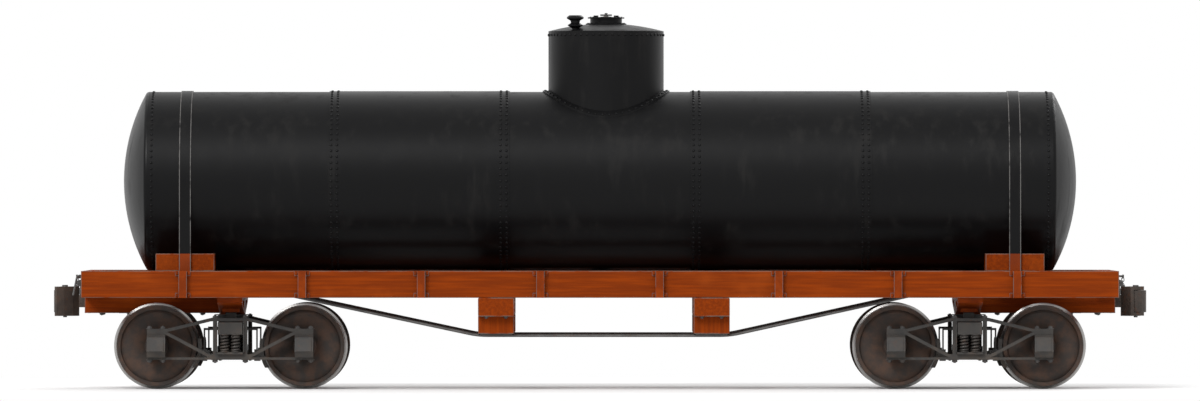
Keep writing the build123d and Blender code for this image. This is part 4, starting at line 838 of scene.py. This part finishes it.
manway_ring = bmesh.new()
corners = []
for radius, height in (
    (NECK_RADIUS - RING_SUNK, -RING_SUNK),
    (NECK_RADIUS + RING_WIDTH, -RING_SUNK),
    (NECK_RADIUS + RING_WIDTH, RING_THICKNESS),
    (NECK_RADIUS - RING_SUNK, RING_THICKNESS),
):
    corners.append(manway_ring.verts.new((DOME_X + radius, 0, crown_z(radius) + height)))
sides = [manway_ring.edges.new((corners[i - 1], corners[i])) for i in range(4)]
bmesh.ops.spin(
    manway_ring,
    geom=corners + sides,
    axis=(0, 0, 1),
    cent=(DOME_X, 0, 0),
    steps=72,
    angle=math.tau,
    use_merge=True,
)
rivet_line = NECK_RADIUS + RING_WIDTH * 0.55
rivet_circle(manway_ring, rivet_line, crown_z(rivet_line) + RING_THICKNESS, RING_RIVET_COUNT)
finished("manway_ring", manway_ring, "car", TANK_BLACK, smooth=False)

lid_rivets = bmesh.new()
rivet_circle(lid_rivets, LID_RIVET_CIRCLE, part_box("lid_handle")[0].z, LID_RIVET_COUNT)
finished("lid_rivets", lid_rivets, "lid", TANK_BLACK)

# %% [markdown]
# ## Bolts of the underframe
#
# Every stake pocket is bolted through the side sill at the four corners of its
# flanges. The places of the pockets come from the record, which states each pocket as
# an opening. The striking plates and the grab irons are bolted to the end sills, and
# the band's ends are bolted to their anchors.

# %% Underframe bolts
sill_low, sill_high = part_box("side_sills")
HALF_FRAME = sill_high.x
HALF_WIDTH = sill_high.y
POCKET_FLANGE_THICKNESS = 0.014
POCKET_BOLT_X = 0.060
POCKET_BOLT_INSET = 0.0255
GRAB_Y = 0.870
GRAB_HALF = 0.200
GRAB_BAR_RADIUS = 0.008
PLATE_BOLT_Y = 0.150
PLATE_BOLT_INSET = 0.030
BAND_BOLT_SHIFT = 0.030
BAND_BOLT_RISE = 0.045
plate_low, plate_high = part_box("striking_plates")
grab_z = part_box("end_grab_irons")[0].z + GRAB_BAR_RADIUS

pocket_bolts = bmesh.new()
for opening in frame["record"]["physics"]["openings"]:
    if opening["name"].startswith("stake_pocket"):
        low, high = opening["box_m"]
        x = (low[0] + high[0]) / 2
        side = math.copysign(1, low[1])
        y = side * (HALF_WIDTH + POCKET_FLANGE_THICKNESS)
        for z in (sill_low.z + POCKET_BOLT_INSET, sill_high.z - POCKET_BOLT_INSET):
            for shift in (-POCKET_BOLT_X, POCKET_BOLT_X):
                nut(pocket_bolts, (x + shift, y, z), (0, side, 0), 0.024, 0.75)
finished("pocket_bolts", pocket_bolts, "car", BROWN_IRON, smooth=False)

frame_bolts = bmesh.new()
for end in (-1, 1):
    outward = (end, 0, 0)
    for y in (-PLATE_BOLT_Y, PLATE_BOLT_Y):
        for z in (plate_low.z + PLATE_BOLT_INSET, plate_high.z - PLATE_BOLT_INSET):
            nut(frame_bolts, (end * plate_high.x, y, z), outward, 0.030)
    for side in (-1, 1):
        for shift in (-GRAB_HALF, GRAB_HALF):
            foot = (end * HALF_FRAME, side * GRAB_Y + shift, grab_z)
            disc(frame_bolts, foot, outward, 0.021, 0.006)
        band_x = end * (band_high.x - BAND_WIDTH / 2)
        for shift in (-BAND_BOLT_SHIFT, BAND_BOLT_SHIFT):
            place = (band_x + shift, side * band_high.y, band_low.z + BAND_BOLT_RISE)
            nut(frame_bolts, place, (0, side, 0), 0.026)
finished("frame_bolts", frame_bolts, "car", DARK_IRON, smooth=False)

# %% [markdown]
# ## Nuts under the car
#
# The needle beams and the draft timbers hang from the sills on long bolts, so their
# nuts show from below. The carrier irons have two nuts each. The outlet's flange and
# the heads of the brake cylinder are closed by rings of small nuts, which are made once
# and turned round their own middle.

# %% Nuts below
needle_low, needle_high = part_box("needle_beams")
draft_low, draft_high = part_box("draft_timbers")
carrier_low, carrier_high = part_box("carrier_irons")
outlet_low, outlet_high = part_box("outlet_nozzle")
cylinder_low, cylinder_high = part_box("brake_cylinder")
NEEDLE_LENGTH = 0.370
NEEDLE_BOLT_SHIFT = 0.10
SILL_MIDDLES = (0.2415, 0.683, 1.262)
DRAFT_BOLT_XS = (4.12, 4.50, 4.88, 5.16)
DRAFT_BOLT_SHIFT = 0.032
DRAFT_INNER_Y = 0.178
CARRIER_BOLT_INSET = 0.040
CARRIER_BOLT_Y = 0.130
OUTLET_FLANGE_DROP = 0.040
OUTLET_BOLT_RADIUS = 0.0875
CYLINDER_FLANGE_RADIUS = 0.134
CYLINDER_BOLT_RADIUS = 0.106
PISTON_ROD_LENGTH = 0.150
DOWN = (0, 0, -1)

under_bolts = bmesh.new()
for needle_x in (needle_low.x + NEEDLE_LENGTH / 2, needle_high.x - NEEDLE_LENGTH / 2):
    for side in (-1, 1):
        for y in SILL_MIDDLES:
            for shift in (-NEEDLE_BOLT_SHIFT, NEEDLE_BOLT_SHIFT):
                nut(under_bolts, (needle_x + shift, side * y, needle_low.z), DOWN, 0.036)
draft_y = draft_high.y - (draft_high.y - DRAFT_INNER_Y) / 2
for end in (-1, 1):
    for side in (-1, 1):
        for number, x in enumerate(DRAFT_BOLT_XS):
            y = draft_y + DRAFT_BOLT_SHIFT * (1 if number % 2 else -1)
            nut(under_bolts, (end * x, side * y, draft_low.z), DOWN, 0.034)
        place = (end * (carrier_high.x - CARRIER_BOLT_INSET), side * CARRIER_BOLT_Y, carrier_low.z)
        nut(under_bolts, place, DOWN, 0.032)

place = (OUTLET_BOLT_RADIUS, 0, sill_high.z - OUTLET_FLANGE_DROP)
ring(under_bolts, nut(under_bolts, place, DOWN, 0.020, 0.75), (0, 0, 1), (0, 0, 0), 8)
cylinder_y = cylinder_high.y - CYLINDER_FLANGE_RADIUS
cylinder_z = (cylinder_low.z + cylinder_high.z) / 2
for x, outward in ((cylinder_high.x, 1), (cylinder_low.x + PISTON_ROD_LENGTH, -1)):
    first = nut(under_bolts, (x, cylinder_y, cylinder_z + CYLINDER_BOLT_RADIUS), (outward, 0, 0), 0.026)
    ring(under_bolts, first, (1, 0, 0), (x, cylinder_y, cylinder_z), 8)
finished("under_bolts", under_bolts, "car", DARK_IRON, smooth=False)

# %% [markdown]
# ## Springs and bolts of the trucks
#
# The CAD model stands four plain cylinders in each nest. Here each becomes an open coil
# of the same radius between the same heights, with a flat seat above and below. The arch
# bars are held by long bolts: two through every journal box and one through every
# column, with nuts on top of the bars and under the tie bar.

# %% Trucks
COIL_WIRE = 0.0125
COIL_TURNS = 4.2
SEAT_THICKNESS = 0.010
BOX_BOLT_X = 0.068
BAR_HALF_WIDTH = 0.051
NEST_WIDTH_IN_COILS = 2.12
BOX_INSET = 0.095
COLUMN_BOLT_INSET = 0.021
BOX_NUT_RISE = 0.064

for letter in "ab":
    body = f"truck_{letter}"
    spring_low, spring_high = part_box(f"{body}_springs")
    bars_low, bars_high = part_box(f"{body}_arch_bars")
    column_low, column_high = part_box(f"{body}_columns")
    boxes_low, boxes_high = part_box(f"{body}_journal_boxes")
    truck_x = (bars_low.x + bars_high.x) / 2
    bar_y = (bars_high.y + bars_low.y) / 2 + (bars_high.y - bars_low.y) / 2 - BAR_HALF_WIDTH
    coil_radius = ((spring_high.x - spring_low.x) / 2) / NEST_WIDTH_IN_COILS
    nest_shift = (spring_high.x - spring_low.x) / 2 - coil_radius

    springs = bmesh.new()
    for side in (-1, 1):
        for x_way in (-1, 1):
            for y_way in (-1, 1):
                x = truck_x + x_way * nest_shift
                y = side * bar_y + y_way * nest_shift
                base = Vector((x, y, spring_low.z + SEAT_THICKNESS))
                height = spring_high.z - spring_low.z - 2 * SEAT_THICKNESS
                coil(springs, base, height, coil_radius - COIL_WIRE, COIL_WIRE, COIL_TURNS)
                for seat_z in (spring_low.z, spring_high.z - SEAT_THICKNESS):
                    disc(springs, (x, y, seat_z), (0, 0, 1), coil_radius, SEAT_THICKNESS, 24)
    bmesh.ops.holes_fill(springs, edges=[e for e in springs.edges if e.is_boundary])
    coils = finished(f"{body}_coils", springs, body, SPRING_STEEL)
    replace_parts(coils, f"{body}_springs")

    bolts = bmesh.new()
    box_half = (bars_high.x - bars_low.x) / 2 - BOX_INSET
    column_x = (column_high.x - column_low.x) / 2 - COLUMN_BOLT_INSET
    box_top_z = boxes_high.z + BOX_NUT_RISE
    for side in (-1, 1):
        y = side * bar_y
        bolt_xs = [end * box_half + shift for end in (-1, 1) for shift in (-BOX_BOLT_X, BOX_BOLT_X)]
        for x in bolt_xs:
            nut(bolts, (truck_x + x, y, box_top_z), (0, 0, 1), 0.044)
            nut(bolts, (truck_x + x, y, bars_low.z), DOWN, 0.044)
        for end in (-1, 1):
            nut(bolts, (truck_x + end * column_x, y, bars_high.z), (0, 0, 1), 0.048)
            nut(bolts, (truck_x + end * column_x, y, bars_low.z), DOWN, 0.048)
    finished(f"{body}_bolts", bolts, body, DARK_IRON, smooth=False)

# %% [markdown]
# ## Ribs behind the wheels
#
# A chilled iron wheel has curved ribs on its back, from the hub to the rim, which let
# the plate shrink without cracking as it cools. The upright section of one rib is spun
# round a point above the hub, and copies of the rib go round the axle.

# %% Wheel ribs
RIB_COUNT = 12
RIB_THICKNESS = 0.018
RIB_LOW_Y = 0.7065
RIB_HIGH_Y = 0.7825
RIB_START = 0.116
RIB_BEND = 0.255
RIB_TURN = math.radians(62)

for number in range(1, 5):
    wheelset = f"wheelset_{number}"
    low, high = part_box(wheelset)
    axle_x = (low.x + high.x) / 2
    start_x = axle_x + RIB_START
    ribs = bmesh.new()
    for side in (-1, 1):
        known = set(ribs.verts)
        section = []
        for y, z in ((RIB_LOW_Y, -1), (RIB_HIGH_Y, -1), (RIB_HIGH_Y, 1), (RIB_LOW_Y, 1)):
            section.append(ribs.verts.new((start_x, side * y, AXLE_Z + z * RIB_THICKNESS / 2)))
        edges = [ribs.edges.new((section[i - 1], section[i])) for i in range(4)]
        bmesh.ops.spin(
            ribs,
            geom=section + edges,
            axis=(0, -1, 0),
            cent=(start_x, 0, AXLE_Z + RIB_BEND),
            steps=7,
            angle=RIB_TURN,
        )
        rib = [v for v in ribs.verts if v not in known]
        bmesh.ops.holes_fill(ribs, edges=[e for e in ribs.edges if e.is_boundary])
        ring(ribs, rib, (0, 1, 0), (axle_x, 0, AXLE_Z), RIB_COUNT)
    cast_iron = nodes[wheelset].data.materials[0]
    finished(f"{wheelset}_ribs", ribs, wheelset, cast_iron, smooth=False)

# %% [markdown]
# ## Couplers as castings
#
# A coupler leaves its sand mould with its edges rounded, and the CAD model has them
# sharp above and below. A copy of each casting has those edges bevelled. The walls are
# shaded smooth up to a sharp corner, and the level faces stay flat.

# %% Rounded castings
EDGE_ROUND = 0.007
WELD = 0.00005
SHARP = math.radians(25)
SMOOTH_BELOW = math.radians(35)


def rounded_casting(name, body):
    """A copy of a CAD casting with its level edges rounded, which stands for the node."""
    bm = bmesh.new()
    bm.from_mesh(nodes[name].data)
    bmesh.ops.remove_doubles(bm, verts=bm.verts, dist=WELD)
    bmesh.ops.dissolve_limit(bm, angle_limit=math.radians(1), verts=bm.verts, edges=bm.edges)
    edges = []
    for edge in bm.edges:
        rise = abs(edge.verts[1].co.z - edge.verts[0].co.z)
        if rise < WELD and edge.is_convex and edge.calc_face_angle(0) > SHARP:
            edges.append(edge)
    bmesh.ops.bevel(
        bm,
        geom=edges,
        offset=EDGE_ROUND,
        segments=3,
        profile=0.5,
        affect="EDGES",
        clamp_overlap=True,
        material=-1,
    )
    bm.normal_update()
    for face in bm.faces:
        face.smooth = abs(face.normal.z) < 0.999
    for edge in bm.edges:
        edge.smooth = edge.calc_face_angle(0) < SMOOTH_BELOW
    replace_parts(finished(f"{name}_casting", bm, body, COUPLER_IRON, smooth=False), name)


for letter in "ab":
    rounded_casting(f"coupler_{letter}", "car")
    rounded_casting(f"knuckle_{letter}", f"knuckle_{letter}")

# %% [markdown]
# ## Lifting chains
#
# The lever on the end sill lifts the coupler's lock through a short chain. A link is a
# circle of wire that goes down one side, round the bottom, up the other side and over
# the top. Links that follow each other are turned by a quarter.

# %% Lifting chains
LINK_WIRE = 0.004
LINK_HALF_WIDTH = 0.013
LINK_STRAIGHT = 0.016
LINK_STEP = 0.030
LEVER_RADIUS = 0.011
LEVER_DROP = 0.060
NOSE_REACH = 0.102
NOSE_INSET = 0.012
EYE_FOOT = 0.022


def chain_link(bm, x, z, quarter):
    """One oval link about a middle on the car's centre line."""
    known = set(bm.verts)
    place = Matrix.Translation((x + LINK_HALF_WIDTH, 0, z + LINK_STRAIGHT / 2))
    wire = bmesh.ops.create_circle(bm, segments=8, radius=LINK_WIRE, matrix=place)["verts"]
    geom = wire + list({e for v in wire for e in v.link_edges})
    half = LINK_STRAIGHT / 2
    for turn, end_z, drop in ((0, 0, -1), (math.pi, -half, 0), (0, 0, 1), (math.pi, half, 0)):
        steps = 8 if turn else 1
        made = bmesh.ops.spin(
            bm,
            geom=geom,
            axis=(0, 1, 0),
            cent=(x, 0, z + end_z),
            dvec=(0, 0, drop * LINK_STRAIGHT),
            steps=steps,
            angle=turn,
        )
        geom = made["geom_last"]
    link = [v for v in bm.verts if v not in known]
    bmesh.ops.remove_doubles(bm, verts=link, dist=WELD)
    link = [v for v in link if v.is_valid]
    if quarter:
        turn = Matrix.Rotation(math.pi / 2, 3, "Z")
        bmesh.ops.rotate(bm, verts=link, cent=(x, 0, z), matrix=turn)


chains = bmesh.new()
lock_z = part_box("coupler_b")[1].z
nose_z = sill_high.z - LEVER_DROP
top_link_z = nose_z + LEVER_RADIUS + LINK_WIRE - LINK_HALF_WIDTH - LINK_STRAIGHT / 2
for end in (-1, 1):
    nose_x = end * (HALF_FRAME + NOSE_REACH - NOSE_INSET)
    disc(chains, (end * (HALF_FRAME + NOSE_REACH), 0, nose_z), (-end, 0, 0), LEVER_RADIUS * 1.5, 0.006)
    disc(chains, (nose_x, 0, lock_z - 0.001), (0, 0, 1), EYE_FOOT, 0.010)
    count = 0
    z = top_link_z
    while z > lock_z + 0.004:
        chain_link(chains, nose_x, z, count % 2 == 0)
        z -= LINK_STEP
        count += 1
    print("chain links:", count, "last at", round(z + LINK_STEP, 4), "lock at", round(lock_z, 4))
finished("lifting_chains", chains, "car", DARK_IRON)
